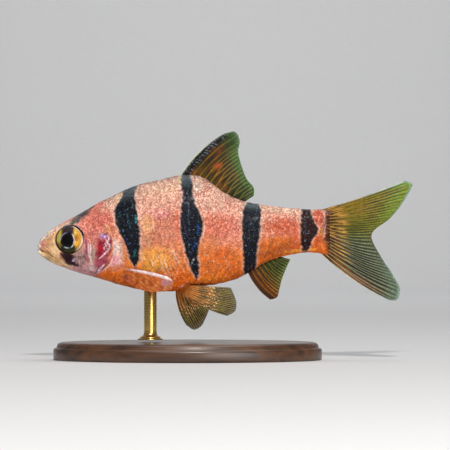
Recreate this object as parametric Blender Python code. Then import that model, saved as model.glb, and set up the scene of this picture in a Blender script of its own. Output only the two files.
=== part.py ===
"""A life-size display model of a five-banded barb, held over a flat base by one rod.

The fish faces -X with its left flank toward -Y, and the floor is at Z = 0.
Sizes below are in millimetres and are turned into metres when a mesh is made.
"""
import math
from functools import lru_cache

import bmesh
import bpy
import numpy as np

MM = 0.001

# The clearance that touching nodes keep, and a little more where the joint face is slanted
GAP = 0.3
SLANTED_GAP = 0.36

# The body from the side and from above: distance behind the snout tip, height of the back,
# height of the belly, and half the width
SNOUT_X = -25.2
STATIONS = (
    (0.0, 15.0, 15.0, 0.0),
    (0.3, 15.85, 14.15, 0.72),
    (1.15, 16.9, 13.52, 1.35),
    (2.5, 17.82, 12.78, 1.95),
    (3.8, 18.55, 12.3, 2.4),
    (5.8, 19.62, 11.62, 2.85),
    (8.5, 21.2, 10.85, 3.25),
    (11.2, 22.6, 9.9, 3.5),
    (13.9, 23.65, 9.35, 3.65),
    (16.5, 24.25, 9.1, 3.6),
    (19.4, 24.9, 9.2, 3.45),
    (22.2, 24.6, 9.75, 3.2),
    (25.5, 22.3, 10.35, 2.75),
    (27.8, 21.35, 11.2, 2.4),
    (30.9, 20.8, 13.1, 1.95),
    (33.7, 20.45, 13.9, 1.6),
    (36.6, 20.3, 14.3, 1.25),
    (39.2, 20.35, 13.95, 0.95),
)
WIDEST_SHARE = 0.5
BACK_FULLNESS = 1.85
BELLY_FULLNESS = 2.15

# Where the body parts into head, torso and tail stem
NAPE_X = -14.9
THROAT_SWEEP = 2.6
VENT_X = 2.75
STEM_END_X = 13.9
AROUND = 36
HEAD_RINGS = 24
TORSO_RINGS = 19
STEM_RINGS = 12
TIP_STEP = 0.004

# Eye and nostrils, placed on the side view as X and Z
EYE_CENTER = (-20.81, 16.18)
EYE_RADIUS = 1.86
EYE_SET_OUT = 1.68
EYE_BULGE = 1.12
EYE_BACK_DEPTH = 0.75
NOSTRILS = ((-23.0, 16.75), (-22.55, 16.95))
NOSTRIL_RADIUS = 0.24
NOSTRIL_DEPTH = 0.34

# Mouth: a line down from the front of the snout to the corner, with a lip on each side of it
MOUTH_FRONT = (-26.0, 15.5)
MOUTH_CORNER = (-23.35, 14.1)
JAW_REAR = (-22.5, 12.2)
JAW_BLOCK_DROP = 2.0
JAW_BLOCK_HALF_WIDTH = 3.0
LIP_RADIUS = 0.25
LIP_SET_BACK = 0.26
LIP_HALF_WIDTH = 1.42
LIP_HALF_TURN = 88.0
UPPER_LIP_RISE = 0.4
LOWER_LIP_DROP = 0.2

# Gill cover and the ridge in front of it, as outlines on the side view
GILL_OUTLINE = (
    (-17.45, 18.0), (-16.2, 18.35), (-15.3, 17.5), (-14.8, 15.5), (-15.2, 13.6),
    (-16.3, 12.25), (-17.6, 11.75), (-18.3, 12.4), (-17.9, 14.2), (-17.75, 16.2),
)
GILL_RAISE = 0.16
GILL_DOME = 0.08
GILL_THICKNESS = 0.6
POCKET_HEIGHT = 0.9
PLATE_AROUND = 30
PLATE_ROWS = 3
CHEEK_RIDGE = ((-18.75, 17.6), (-18.3, 16.0), (-18.35, 14.0), (-19.0, 12.6))
CHEEK_RIDGE_RADIUS = 0.22
CHEEK_RIDGE_SINK = 0.1

# Fins: a membrane with each ray raised on both faces, thinning to the tips
MEMBRANE = 0.5
RAY_RAISE = 0.17
TIP_THICKNESS = 0.3
VALLEY_REACH = 0.97
FIN_ROWS = 8
ROOT_SINK = 0.65

# Display stand: an oval base and a rod with a collar at its foot
BASE_LENGTH = 36.0
BASE_WIDTH = 22.0
BASE_HEIGHT = 2.4
BASE_X = -5.0
BASE_BEVEL = 0.5
ROD_X = -10.0
ROD_RADIUS = 0.85
ROD_SIDES = 24
ROD_TOP_SINK = 0.8
COLLAR_RADIUS = 1.7
COLLAR_HEIGHT = 0.5
COLLAR_SLOPE = 0.2


def smooth(knots, values, at):
    """Read a smooth curve that passes through the values at the knots."""
    slopes = np.gradient(values, knots)
    first = int(np.clip(np.searchsorted(knots, at, side="right") - 1, 0, len(knots) - 2))
    step = knots[first + 1] - knots[first]
    t = (at - knots[first]) / step
    start = (1 + 2 * t) * (1 - t) ** 2 * values[first] + t * (1 - t) ** 2 * step * slopes[first]
    end = t * t * (3 - 2 * t) * values[first + 1] - t * t * (1 - t) * step * slopes[first + 1]
    return float(start + end)


def along(points, t):
    """Read a smooth curve through points, with t from 0 to 1 by distance."""
    points = np.array(points, dtype=float)
    lengths = np.linalg.norm(np.diff(points, axis=0), axis=1)
    knots = np.concatenate(([0.0], np.cumsum(lengths)))
    return np.array([smooth(knots, column, t * knots[-1]) for column in points.T])


STATION_COLUMNS = np.array(STATIONS).T
STATION_REACH = np.sqrt(STATION_COLUMNS[0])


@lru_cache(maxsize=None)
def body_outline(x):
    """Heights of back and belly and half the width, read so that the snout comes out round."""
    reach = math.sqrt(max(x - SNOUT_X, 0.0))
    return [smooth(STATION_REACH, column, reach) for column in STATION_COLUMNS[1:]]


def body_point(x, angle):
    """A point on the body, with the angle from 0 at the back over the right flank to the belly."""
    back, belly, half = body_outline(x)
    middle = belly + WIDEST_SHARE * (back - belly)
    upper = math.cos(angle) >= 0
    power = 2 / (BACK_FULLNESS if upper else BELLY_FULLNESS)
    rise = back - middle if upper else belly - middle
    y = half * math.copysign(abs(math.sin(angle)) ** power, math.sin(angle))
    return np.array([x, y, middle + rise * abs(math.cos(angle)) ** power])


def lifted(x, angle, lift):
    """A body point moved out along the surface normal."""
    if lift == 0:
        return body_point(x, angle)
    step = 0.02
    ahead = body_point(x + step, angle) - body_point(x - step, angle)
    around = body_point(x, angle + step) - body_point(x, angle - step)
    normal = np.cross(ahead, around)
    return body_point(x, angle) + lift * normal / np.linalg.norm(normal)


def angle_at(x, z):
    """The angle on the right flank at a height, for placing what is measured from the side."""
    back, belly, _ = body_outline(x)
    middle = belly + WIDEST_SHARE * (back - belly)
    share = (z - middle) / (back - middle) if z > middle else (middle - z) / (middle - belly)
    fullness = BACK_FULLNESS if z > middle else BELLY_FULLNESS
    cosine = math.copysign(min(abs(share), 1.0) ** (fullness / 2), z - middle)
    return math.acos(cosine)


def flank_point(x, z, side, lift=0.0):
    """A point on the left (-1) or right (+1) flank at a height on the side view."""
    point = lifted(x, angle_at(x, z), lift)
    return point * (1, side, 1)


def new_object(name, points, faces):
    """Make a closed mesh object from points in millimetres, with its faces turned outward."""
    shape = bmesh.new()
    corners = [shape.verts.new([value * MM for value in point]) for point in points]
    for face in faces:
        shape.faces.new([corners[index] for index in face])
    bmesh.ops.recalc_face_normals(shape, faces=shape.faces)
    mesh = bpy.data.meshes.new(name)
    shape.to_mesh(mesh)
    shape.free()
    item = bpy.data.objects.new(name, mesh)
    bpy.context.scene.collection.objects.link(item)
    return item


def strip(first, second):
    """Triangles between two closed rings of point indexes."""
    count = len(first)
    faces = []
    for i in range(count):
        j = (i + 1) % count
        faces.append((first[i], first[j], second[j]))
        faces.append((first[i], second[j], second[i]))
    return faces


def fan(ring, center):
    """Triangles that close a ring onto one point."""
    return [(ring[i], ring[(i + 1) % len(ring)], center) for i in range(len(ring))]


def lofted(name, rings, front, rear):
    """A closed solid through equal rings of points, closed by a point at each end."""
    count = len(rings[0])
    points = [point for ring in rings for point in ring] + [front, rear]
    indexes = [list(range(k * count, (k + 1) * count)) for k in range(len(rings))]
    faces = [face for a, b in zip(indexes, indexes[1:]) for face in strip(a, b)]
    faces += fan(indexes[0], len(points) - 2) + fan(indexes[-1], len(points) - 1)
    return new_object(name, points, faces)


def straight_joint(x):
    """A joint line that lies at one X all round the body."""
    def line(angle):
        return x
    return line


def gill_joint(behind=0.0):
    """The joint line between head and torso, which sweeps forward under the throat."""
    def line(angle):
        low = (1 - math.cos(angle)) / 2
        return NAPE_X + behind - THROAT_SWEEP * low ** 2
    return line


def body_length(name, front, rear, count, lift=0.0):
    """A length of the body between two joint lines."""
    angles = [2 * math.pi * k / AROUND for k in range(AROUND)]
    rings = []
    for k in range(count + 1):
        share = k / count
        ring = []
        for angle in angles:
            start = math.sqrt(front(angle) - SNOUT_X)
            end = math.sqrt(rear(angle) - SNOUT_X)
            ring.append(lifted(SNOUT_X + (start + share * (end - start)) ** 2, angle, lift))
        rings.append(ring)
    ends = []
    for ring, line in ((rings[0], front), (rings[-1], rear)):
        center = np.mean(ring, axis=0)
        center[0] = line(math.pi / 2)
        ends.append(center)
    return lofted(name, rings, ends[0], ends[1])


def plate(name, outline, side, inner, outer, grow=0.0):
    """A slightly domed plate that follows the flank, between two lifts from the surface."""
    center = np.mean(outline, axis=0)
    closed = list(outline) + [outline[0]]
    edge = []
    for k in range(PLATE_AROUND):
        point = along(closed, k / PLATE_AROUND)
        away = point - center
        edge.append(point + grow * away / np.linalg.norm(away))
    shares = [row / PLATE_ROWS for row in range(1, PLATE_ROWS + 1)]
    layers = [(share, outer + GILL_DOME * (1 - share)) for share in shares]
    layers += [(share, inner) for share in reversed(shares)]
    rings = []
    for share, lift in layers:
        spots = [center + share * (point - center) for point in edge]
        rings.append([flank_point(x, z, side, lift) for x, z in spots])
    top = flank_point(center[0], center[1], side, outer + GILL_DOME)
    bottom = flank_point(center[0], center[1], side, inner)
    return lofted(name, rings, top, bottom)


def ball(name, center, radii, rear_radius, around=22, rows=10):
    """An ellipsoid whose pole points along Y, flatter on the side that faces the body."""
    side = math.copysign(1, center[1])
    rings = []
    for row in range(1, rows):
        turn = math.pi * row / rows
        depth = radii[1] if turn < math.pi / 2 else rear_radius
        ring = []
        for k in range(around):
            angle = 2 * math.pi * k / around
            x = center[0] + radii[0] * math.sin(turn) * math.cos(angle)
            z = center[2] + radii[2] * math.sin(turn) * math.sin(angle)
            ring.append((x, center[1] + side * depth * math.cos(turn), z))
        rings.append(ring)
    front = (center[0], center[1] + side * radii[1], center[2])
    rear = (center[0], center[1] - side * rear_radius, center[2])
    return lofted(name, rings, front, rear)


def roll(name, path, radius, sides=8):
    """A round roll along a path, drawn in at both ends."""
    path = [np.array(point, dtype=float) for point in path]
    end_size = 0.35
    rings = []
    for k, point in enumerate(path):
        run = path[min(k + 1, len(path) - 1)] - path[max(k - 1, 0)]
        run = run / np.linalg.norm(run)
        across = np.cross(run, (0.0, 0.0, 1.0))
        across = across / np.linalg.norm(across)
        up = np.cross(across, run)
        share = k / (len(path) - 1)
        size = radius * max(math.sqrt(max(1 - (2 * share - 1) ** 6, 0.0)), end_size)
        turns = [2 * math.pi * i / sides for i in range(sides)]
        rings.append([point + size * (math.cos(t) * across + math.sin(t) * up) for t in turns])
    return lofted(name, rings, path[0], path[-1])


def prism(name, outline, half_width):
    """A straight block across the body with an outline on the side view."""
    count = len(outline)
    points = [(x, -half_width, z) for x, z in outline] + [(x, half_width, z) for x, z in outline]
    faces = [tuple(range(count)), tuple(range(count, 2 * count))]
    for i in range(count):
        j = (i + 1) % count
        faces.append((i, j, count + j, count + i))
    return new_object(name, points, faces)


def largest_surface(mesh):
    """Keep only the closed surface with the most faces."""
    shape = bmesh.new()
    shape.from_mesh(mesh)
    left = set(shape.faces)
    pieces = []
    while left:
        waiting = [left.pop()]
        piece = []
        while waiting:
            face = waiting.pop()
            piece.append(face)
            for edge in face.edges:
                for other in edge.link_faces:
                    if other in left:
                        left.remove(other)
                        waiting.append(other)
        pieces.append(piece)
    pieces.sort(key=len)
    drop = [face for piece in pieces[:-1] for face in piece]
    bmesh.ops.delete(shape, geom=drop, context="FACES")
    shape.to_mesh(mesh)
    shape.free()


def combine(target, others, operation, solver="EXACT"):
    """Apply one Boolean of the target with the other closed meshes, then remove those."""
    group = bpy.data.collections.new("operands")
    for other in others:
        group.objects.link(other)
    modifier = target.modifiers.new("combine", "BOOLEAN")
    modifier.operation = operation
    modifier.solver = solver
    if len(others) == 1:
        modifier.object = others[0]
    else:
        modifier.operand_type = "COLLECTION"
        modifier.collection = group
    result = target.evaluated_get(bpy.context.evaluated_depsgraph_get())
    mesh = bpy.data.meshes.new_from_object(result)
    target.modifiers.remove(modifier)
    target.data = mesh
    largest_surface(mesh)
    for other in others:
        bpy.data.objects.remove(other)
    bpy.data.collections.remove(group)
    return target


def finish(item, name, color, roughness, metallic=0.0):
    """Name a node, give it its material and shade it smooth except at real edges."""
    item.name = name
    item.data.name = name
    material = bpy.data.materials.new(name)
    material.use_nodes = True
    shader = material.node_tree.nodes["Principled BSDF"]
    shader.inputs["Base Color"].default_value = (*color, 1.0)
    shader.inputs["Roughness"].default_value = roughness
    shader.inputs["Metallic"].default_value = metallic
    item.data.materials.clear()
    item.data.materials.append(material)
    item.data.shade_smooth()
    item.data.set_sharp_from_angle(angle=math.radians(40))
    return item


def lip(name, above):
    """A roll bent round the front of the mouth, just above or below the mouth line."""
    slope = (MOUTH_CORNER[1] - MOUTH_FRONT[1]) / (MOUTH_CORNER[0] - MOUTH_FRONT[0])
    depth = MOUTH_CORNER[0] - SNOUT_X - LIP_SET_BACK
    path = []
    for turn in np.radians(np.linspace(-LIP_HALF_TURN, LIP_HALF_TURN, 17)):
        x = MOUTH_CORNER[0] - depth * math.cos(turn)
        z = MOUTH_FRONT[1] + slope * (x - MOUTH_FRONT[0]) + above
        path.append((x, LIP_HALF_WIDTH * math.sin(turn), z))
    return roll(name, path, LIP_RADIUS)


def eyes():
    """Two flattened eyeballs, each set into its socket."""
    for side, name in ((-1, "eye_left"), (1, "eye_right")):
        center = (EYE_CENTER[0], side * EYE_SET_OUT, EYE_CENTER[1])
        eye = ball(name, center, (EYE_RADIUS, EYE_BULGE, EYE_RADIUS), EYE_BACK_DEPTH)
        finish(eye, name, (0.62, 0.42, 0.08), 0.12)


def sockets_and_nostrils():
    """Cutters for the eye sockets, wider than the eyes by the gap, and for the nostril pits."""
    cutters = []
    socket = EYE_RADIUS + GAP
    for side in (-1, 1):
        center = (EYE_CENTER[0], side * EYE_SET_OUT, EYE_CENTER[1])
        radii = (socket, EYE_BULGE + 3 * GAP, socket)
        cutters.append(ball("socket", center, radii, EYE_BACK_DEPTH + GAP))
        for x, z in NOSTRILS:
            spot = flank_point(x, z, side)
            radii = (NOSTRIL_RADIUS, NOSTRIL_DEPTH, NOSTRIL_RADIUS)
            cutters.append(ball("nostril", spot, radii, NOSTRIL_DEPTH, around=10, rows=6))
    return cutters


def gill_pockets():
    """The hollows under both gill covers, larger than the covers by the gap."""
    depth = GILL_THICKNESS - GILL_RAISE + GAP
    return [plate("pocket", GILL_OUTLINE, side, -depth, POCKET_HEIGHT, GAP) for side in (-1, 1)]


def jaw_block(grow):
    """The block that parts the lower jaw from the head, grown toward the head by the gap."""
    front, corner, rear = [np.array(point) for point in (MOUTH_FRONT, MOUTH_CORNER, JAW_REAR)]
    low = rear[1] - JAW_BLOCK_DROP
    outline = [
        front + (0, grow),
        corner + (0.5 * grow, grow),
        rear + (1.2 * grow, 0),
        (rear[0] + 1.2 * grow, low),
        (front[0], low),
    ]
    return prism("jaw_block", outline, JAW_BLOCK_HALF_WIDTH)


def head():
    """The head with its lips, cheek ridges and nostrils, and the lower jaw apart from it."""
    snout_joint = straight_joint(SNOUT_X + TIP_STEP)
    skull = body_length("head", snout_joint, gill_joint(), HEAD_RINGS)
    jaw = body_length("lower_jaw", snout_joint, gill_joint(), HEAD_RINGS)
    rolls = [lip("upper_lip", UPPER_LIP_RISE)]
    for side in (-1, 1):
        spots = [along(CHEEK_RIDGE, t) for t in np.linspace(0, 1, 11)]
        path = [flank_point(x, z, side, -CHEEK_RIDGE_SINK) for x, z in spots]
        rolls.append(roll("cheek_ridge", path, CHEEK_RIDGE_RADIUS, 6))
    combine(skull, rolls, "UNION")
    combine(skull, sockets_and_nostrils() + gill_pockets() + [jaw_block(GAP)], "DIFFERENCE")
    finish(skull, "head", (0.62, 0.32, 0.25), 0.35)
    combine(jaw, [lip("lower_lip", -LOWER_LIP_DROP)], "UNION")
    combine(jaw, [jaw_block(0.0)], "INTERSECT")
    finish(jaw, "lower_jaw", (0.72, 0.46, 0.34), 0.35)


def gill_covers():
    """A raised plate over each gill, its rear edge free over the shoulder."""
    for side, name in ((-1, "gill_cover_left"), (1, "gill_cover_right")):
        cover = plate(name, GILL_OUTLINE, side, GILL_RAISE - GILL_THICKNESS, GILL_RAISE)
        finish(cover, name, (0.42, 0.05, 0.1), 0.25)


def torso_and_stem():
    """The deep trunk behind the gills and the tail stem behind the vent."""
    torso = body_length("torso", gill_joint(SLANTED_GAP), straight_joint(VENT_X), TORSO_RINGS)
    combine(torso, gill_pockets(), "DIFFERENCE")
    finish(torso, "torso", (0.72, 0.26, 0.1), 0.35)
    stem = body_length("tail_stem", straight_joint(VENT_X + GAP), straight_joint(STEM_END_X), STEM_RINGS)
    finish(stem, "tail_stem", (0.7, 0.22, 0.09), 0.35)


def fin_thickness(v, on_ray, root_thickness):
    """How thick a fin is at a share v of its length, on a ray or between two."""
    thick = MEMBRANE + (TIP_THICKNESS - MEMBRANE) * v ** 4 + root_thickness * (1 - v) ** 4
    return thick + (2 * RAY_RAISE * (1 - v ** 2) if on_ray else 0.0)


def fin(name, root, margin, rays, bow, sway=0.0, root_thickness=0.0):
    """A fin as a fan of rays between a root line and an outer margin.

    bow pushes the first and the last ray out of a straight line, and sway bends the tips along Y.
    """
    columns = 2 * rays - 1
    middle = np.zeros((columns, FIN_ROWS + 1, 3))
    for i in range(columns):
        u = i / (columns - 1)
        start = along(root, u)
        end = along(margin, u)
        reach = 1.0 if i % 2 == 0 else VALLEY_REACH
        across = np.array(bow[0]) * (1 - u) + np.array(bow[1]) * u
        for j in range(FIN_ROWS + 1):
            v = reach * j / FIN_ROWS
            middle[i, j] = start + (end - start) * v + across * 4 * v * (1 - v)
            middle[i, j, 1] += sway * v * v
    outward = np.cross(np.gradient(middle, axis=0), np.gradient(middle, axis=1))
    outward = outward / np.linalg.norm(outward, axis=2)[:, :, None]
    points = []
    for face in (1, -1):
        for i in range(columns):
            for j in range(FIN_ROWS + 1):
                thick = fin_thickness(j / FIN_ROWS, i % 2 == 0, root_thickness)
                points.append(middle[i, j] + face * outward[i, j] * thick / 2)
    return new_object(name, points, fin_faces(columns))


def fin_faces(columns):
    """Both faces of a fin split along the same diagonals, and the rim between them."""
    row_count = FIN_ROWS + 1
    far = columns * row_count
    faces = []
    for i in range(columns - 1):
        for j in range(FIN_ROWS):
            a = i * row_count + j
            b = a + row_count
            if i % 2 == 0:
                pair = ((a, b, b + 1), (a, b + 1, a + 1))
            else:
                pair = ((a, b, a + 1), (b, b + 1, a + 1))
            faces += pair
            faces += [(far + r, far + q, far + p) for p, q, r in pair]
    rim = [i * row_count for i in range(columns)]
    rim += [(columns - 1) * row_count + j for j in range(1, row_count)]
    rim += [i * row_count + FIN_ROWS for i in range(columns - 2, -1, -1)]
    rim += [j for j in range(FIN_ROWS - 1, 0, -1)]
    return faces + strip(rim, [far + index for index in rim])


def clear_of_body(item, solver="EXACT"):
    """Cut a fin's sunk root, or the rod's top, back to a face that follows the body."""
    front = straight_joint(SNOUT_X + 2 * TIP_STEP)
    rear = straight_joint(STEM_END_X + GAP)
    rings = HEAD_RINGS + TORSO_RINGS + STEM_RINGS - 3
    grown = body_length("grown", front, rear, rings, GAP)
    return combine(item, [grown], "DIFFERENCE", solver)


def back_line(start, end):
    """Points sunk under the back between two X values."""
    return [(x, 0.0, body_outline(x)[0] - ROOT_SINK) for x in np.linspace(start, end, 5)]


def belly_line(start, end):
    """Points sunk above the belly line between two X values."""
    return [(x, 0.0, body_outline(x)[1] + ROOT_SINK) for x in np.linspace(start, end, 4)]


def dorsal_fin():
    """The tall fin on the back: a steep front edge and a hollow rear edge."""
    margin = (
        (0.1, 0, 30.4), (1.4, 0, 30.6), (2.0, 0, 29.5), (1.8, 0, 28.0),
        (2.35, 0, 25.7), (2.9, 0, 24.3), (3.9, 0, 22.9), (3.85, 0, 21.95),
    )
    dorsal = fin("dorsal_fin", back_line(-6.3, 2.3), margin, 12,
                 ((-0.45, 0, 0.5), (0, 0, 0.1)), sway=0.35, root_thickness=0.3)
    finish(clear_of_body(dorsal), "dorsal_fin", (0.24, 0.13, 0.03), 0.4)


def anal_fin():
    """The fin behind the vent, with its longest rays in front."""
    margin = (
        (6.1, 0, 8.05), (6.9, 0, 8.3), (7.3, 0, 9.5), (7.6, 0, 10.7),
        (8.05, 0, 11.9), (8.75, 0, 13.5),
    )
    anal = fin("anal_fin", belly_line(2.9, 6.9), margin, 9,
               ((-0.2, 0, -0.35), (0, 0, -0.1)), sway=-0.25, root_thickness=0.3)
    finish(clear_of_body(anal), "anal_fin", (0.46, 0.17, 0.03), 0.4)


def caudal_fin():
    """The forked tail fin: two lobes of long rays with short rays between them."""
    root = ((13.3, 0, 20.45), (13.75, 0, 19.0), (13.8, 0, 17.2), (13.75, 0, 15.2), (13.2, 0, 13.7))
    margin = (
        (24.2, 0, 24.05), (25.15, 0, 23.65), (24.5, 0, 22.1), (22.3, 0, 19.1), (19.7, 0, 16.75),
        (20.9, 0, 13.9), (22.7, 0, 11.1), (23.5, 0, 9.3), (23.05, 0, 8.0), (21.9, 0, 8.0),
    )
    tail = fin("caudal_fin", root, margin, 19, ((0, 0, -0.12), (-0.1, 0, -0.5)), sway=0.5,
               root_thickness=0.5)
    finish(clear_of_body(tail, "MANIFOLD"), "caudal_fin", (0.5, 0.28, 0.05), 0.4)


def splay(points, side, root_x, root_y, by_drop, by_reach):
    """Turn side-view points into a fin margin that leans out from the body."""
    result = []
    for x, z in points:
        lean = root_y + by_drop * (10.0 - z) + by_reach * (x - root_x)
        result.append((x, side * lean, z))
    return result


def pelvic_fins():
    """The left fin trails back and the right fin hangs down, both leaning outward."""
    left_root = ((-6.15, -1.1, 9.35), (-5.25, -1.4, 10.05))
    left_margin = ((0.4, 6.0), (1.35, 6.6), (1.55, 7.6), (1.2, 8.8), (0.8, 9.7))
    left = fin("pelvic_fin_left", left_root, splay(left_margin, -1, -5.0, 1.2, 0.45, 0.08), 9,
               ((-0.1, 0, -0.45), (0, 0, 0)), root_thickness=0.2)
    finish(clear_of_body(left), "pelvic_fin_left", (0.5, 0.2, 0.02), 0.4)
    right_root = ((-6.6, 1.1, 9.95), (-5.1, 1.35, 9.95))
    right_margin = ((-5.2, 4.5), (-4.1, 3.9), (-3.3, 4.3), (-2.6, 5.5), (-2.05, 6.9))
    right = fin("pelvic_fin_right", right_root, splay(right_margin, 1, -5.0, 1.2, 0.45, 0.08), 9,
                ((-0.5, 0, 0), (0.1, 0, 0.15)), root_thickness=0.2)
    finish(clear_of_body(right), "pelvic_fin_right", (0.5, 0.2, 0.02), 0.4)


def pectoral_fins():
    """A fan on each side just behind the gill cover, laid back along the flank."""
    root_sink = 0.35
    margin = ((-7.5, 11.2), (-6.85, 10.5), (-7.0, 9.7), (-8.3, 9.25), (-10.0, 9.2), (-11.7, 9.6))
    for side, name in ((-1, "pectoral_fin_left"), (1, "pectoral_fin_right")):
        top = flank_point(-14.4, 12.2, side, -root_sink)
        bottom = flank_point(-13.8, 10.9, side, -root_sink)
        reach = splay(margin, side, -14.0, 2.3, 0.0, 0.4)
        paddle = fin(name, (top, bottom), reach, 10, ((0, 0, 0.25), (0, 0, -0.1)), root_thickness=0.3)
        finish(clear_of_body(paddle), name, (0.62, 0.24, 0.1), 0.4)


def stand_base():
    """A flat oval base with a softened edge."""
    bpy.ops.mesh.primitive_cylinder_add(vertices=48, radius=0.5, depth=1.0)
    base = bpy.context.object
    base.location = (BASE_X * MM, 0, BASE_HEIGHT * MM / 2)
    base.scale = (BASE_LENGTH * MM, BASE_WIDTH * MM, BASE_HEIGHT * MM)
    bpy.ops.object.transform_apply(location=False, rotation=False, scale=True)
    bevel = base.modifiers.new("edge", "BEVEL")
    bevel.width = BASE_BEVEL * MM
    bevel.segments = 3
    bevel.limit_method = "ANGLE"
    finish(base, "stand_base", (0.09, 0.04, 0.02), 0.35)


def stand_rod():
    """One upright rod with a collar at its foot and a top that follows the belly."""
    foot = BASE_HEIGHT + GAP
    profile = (
        (foot, COLLAR_RADIUS),
        (foot + COLLAR_HEIGHT - COLLAR_SLOPE, COLLAR_RADIUS),
        (foot + COLLAR_HEIGHT, COLLAR_RADIUS - COLLAR_SLOPE),
        (foot + COLLAR_HEIGHT + COLLAR_SLOPE, ROD_RADIUS),
        (body_outline(ROD_X)[1] + ROD_TOP_SINK, ROD_RADIUS),
    )
    turns = [2 * math.pi * k / ROD_SIDES for k in range(ROD_SIDES)]
    rings = []
    for z, radius in profile:
        rings.append([(ROD_X + radius * math.cos(t), radius * math.sin(t), z) for t in turns])
    rod = lofted("stand_rod", rings, (ROD_X, 0, profile[0][0]), (ROD_X, 0, profile[-1][0]))
    finish(clear_of_body(rod), "stand_rod", (0.75, 0.55, 0.25), 0.25, 1.0)


for old in list(bpy.data.objects):
    bpy.data.objects.remove(old, do_unlink=True)

eyes()
head()
gill_covers()
torso_and_stem()
dorsal_fin()
anal_fin()
caudal_fin()
pelvic_fins()
pectoral_fins()
stand_base()
stand_rod()
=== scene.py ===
import math

import bmesh
import bpy
import numpy as np
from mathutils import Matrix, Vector


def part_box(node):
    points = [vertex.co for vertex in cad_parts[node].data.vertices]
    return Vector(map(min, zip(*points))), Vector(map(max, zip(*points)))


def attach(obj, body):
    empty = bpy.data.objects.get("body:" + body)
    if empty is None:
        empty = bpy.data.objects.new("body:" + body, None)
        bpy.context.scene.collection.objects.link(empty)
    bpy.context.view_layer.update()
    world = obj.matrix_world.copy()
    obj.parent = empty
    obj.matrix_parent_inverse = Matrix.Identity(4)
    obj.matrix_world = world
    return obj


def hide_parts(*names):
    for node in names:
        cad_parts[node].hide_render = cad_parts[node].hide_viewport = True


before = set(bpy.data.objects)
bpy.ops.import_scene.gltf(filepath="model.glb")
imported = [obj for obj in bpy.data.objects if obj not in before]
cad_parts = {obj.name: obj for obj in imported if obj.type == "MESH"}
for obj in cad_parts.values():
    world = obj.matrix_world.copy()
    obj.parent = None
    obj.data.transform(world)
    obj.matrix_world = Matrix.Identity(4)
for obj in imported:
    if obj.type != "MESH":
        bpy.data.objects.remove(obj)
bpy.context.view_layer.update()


# Display stand
# An oval base of dark stained walnut with a moulded edge under satin lacquer, and one turned
# brass rod with a stepped collar, set into the base and pinned up into the belly.
MM = 0.001


def to_linear(code):
    """An sRGB hex colour as linear red, green and blue."""
    parts = [int(code[k:k + 2], 16) / 255 for k in (1, 3, 5)]
    return np.array([c / 12.92 if c <= 0.04045 else ((c + 0.055) / 1.055) ** 2.4 for c in parts])


def add_node(tree, kind, settings=(), links=()):
    """Give a new node, or one that is there, its settings and what is linked into it."""
    node = tree.nodes.new("ShaderNode" + kind) if isinstance(kind, str) else kind
    for name, value in dict(settings).items():
        if isinstance(value, str) and value.startswith("#"):
            value = (*to_linear(value), 1)
        if isinstance(name, int) or name in node.inputs:
            node.inputs[name].default_value = value
        else:
            setattr(node, name, value)
    for name, source in dict(links).items():
        tree.links.new(getattr(source, "outputs", [source])[0], node.inputs[name])
    return node


def new_material(name):
    """A node material with its tree, its Principled shader and the object's own coordinates."""
    material = bpy.data.materials.new(name)
    material.use_nodes = True
    tree = material.node_tree
    place = add_node(tree, "TexCoord").outputs["Object"]
    return material, tree, tree.nodes["Principled BSDF"], place


def mesh_piece(name, points, faces):
    """A mesh object from points in millimetres."""
    mesh = bpy.data.meshes.new(name)
    mesh.from_pydata((np.asarray(points) * MM).tolist(), [], faces)
    mesh.validate()
    item = bpy.data.objects.new(name, mesh)
    bpy.context.scene.collection.objects.link(item)
    return item


def outward(item):
    """Turn all faces of a closed mesh outward and shade it smooth."""
    shape = bmesh.new()
    shape.from_mesh(item.data)
    bmesh.ops.recalc_face_normals(shape, faces=shape.faces)
    shape.to_mesh(item.data)
    shape.free()
    item.data.shade_smooth()


def grid_faces(rows, columns, start=0, wrap=False):
    """Quads of a grid of points, stored row by row, wrapped across if asked."""
    faces = []
    last = columns if wrap else columns - 1
    for i in range(rows - 1):
        for j in range(last):
            k = (j + 1) % columns
            a = start + i * columns
            b = a + columns
            faces.append((a + j, a + k, b + k, b + j))
    return faces


LATHE_STEPS = 180


def lathed(name, node, steps, finish):
    """A round or oval piece in a node's place; a step is its height and how far it draws in."""
    low, high = (np.array(corner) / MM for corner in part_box(node))
    middle = (low + high) / 2
    half = (high - low) / 2
    turn = np.linspace(0, 2 * math.pi, LATHE_STEPS, endpoint=False)
    points = [np.stack([middle[0] + (half[0] - inset) * np.cos(turn),
                        middle[1] + (half[1] - inset) * np.sin(turn),
                        np.full(LATHE_STEPS, low[2] + height)], -1) for height, inset in steps]
    faces = grid_faces(len(steps), LATHE_STEPS, wrap=True)
    faces.append(tuple(range(LATHE_STEPS)))
    faces.append(tuple((len(steps) - 1) * LATHE_STEPS + k for k in range(LATHE_STEPS)))
    piece = mesh_piece(name, np.concatenate(points), faces)
    outward(piece)
    piece.data.polygons[-1].use_smooth = False
    piece.data.materials.append(finish)
    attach(piece, "root")
    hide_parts(node)


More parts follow.
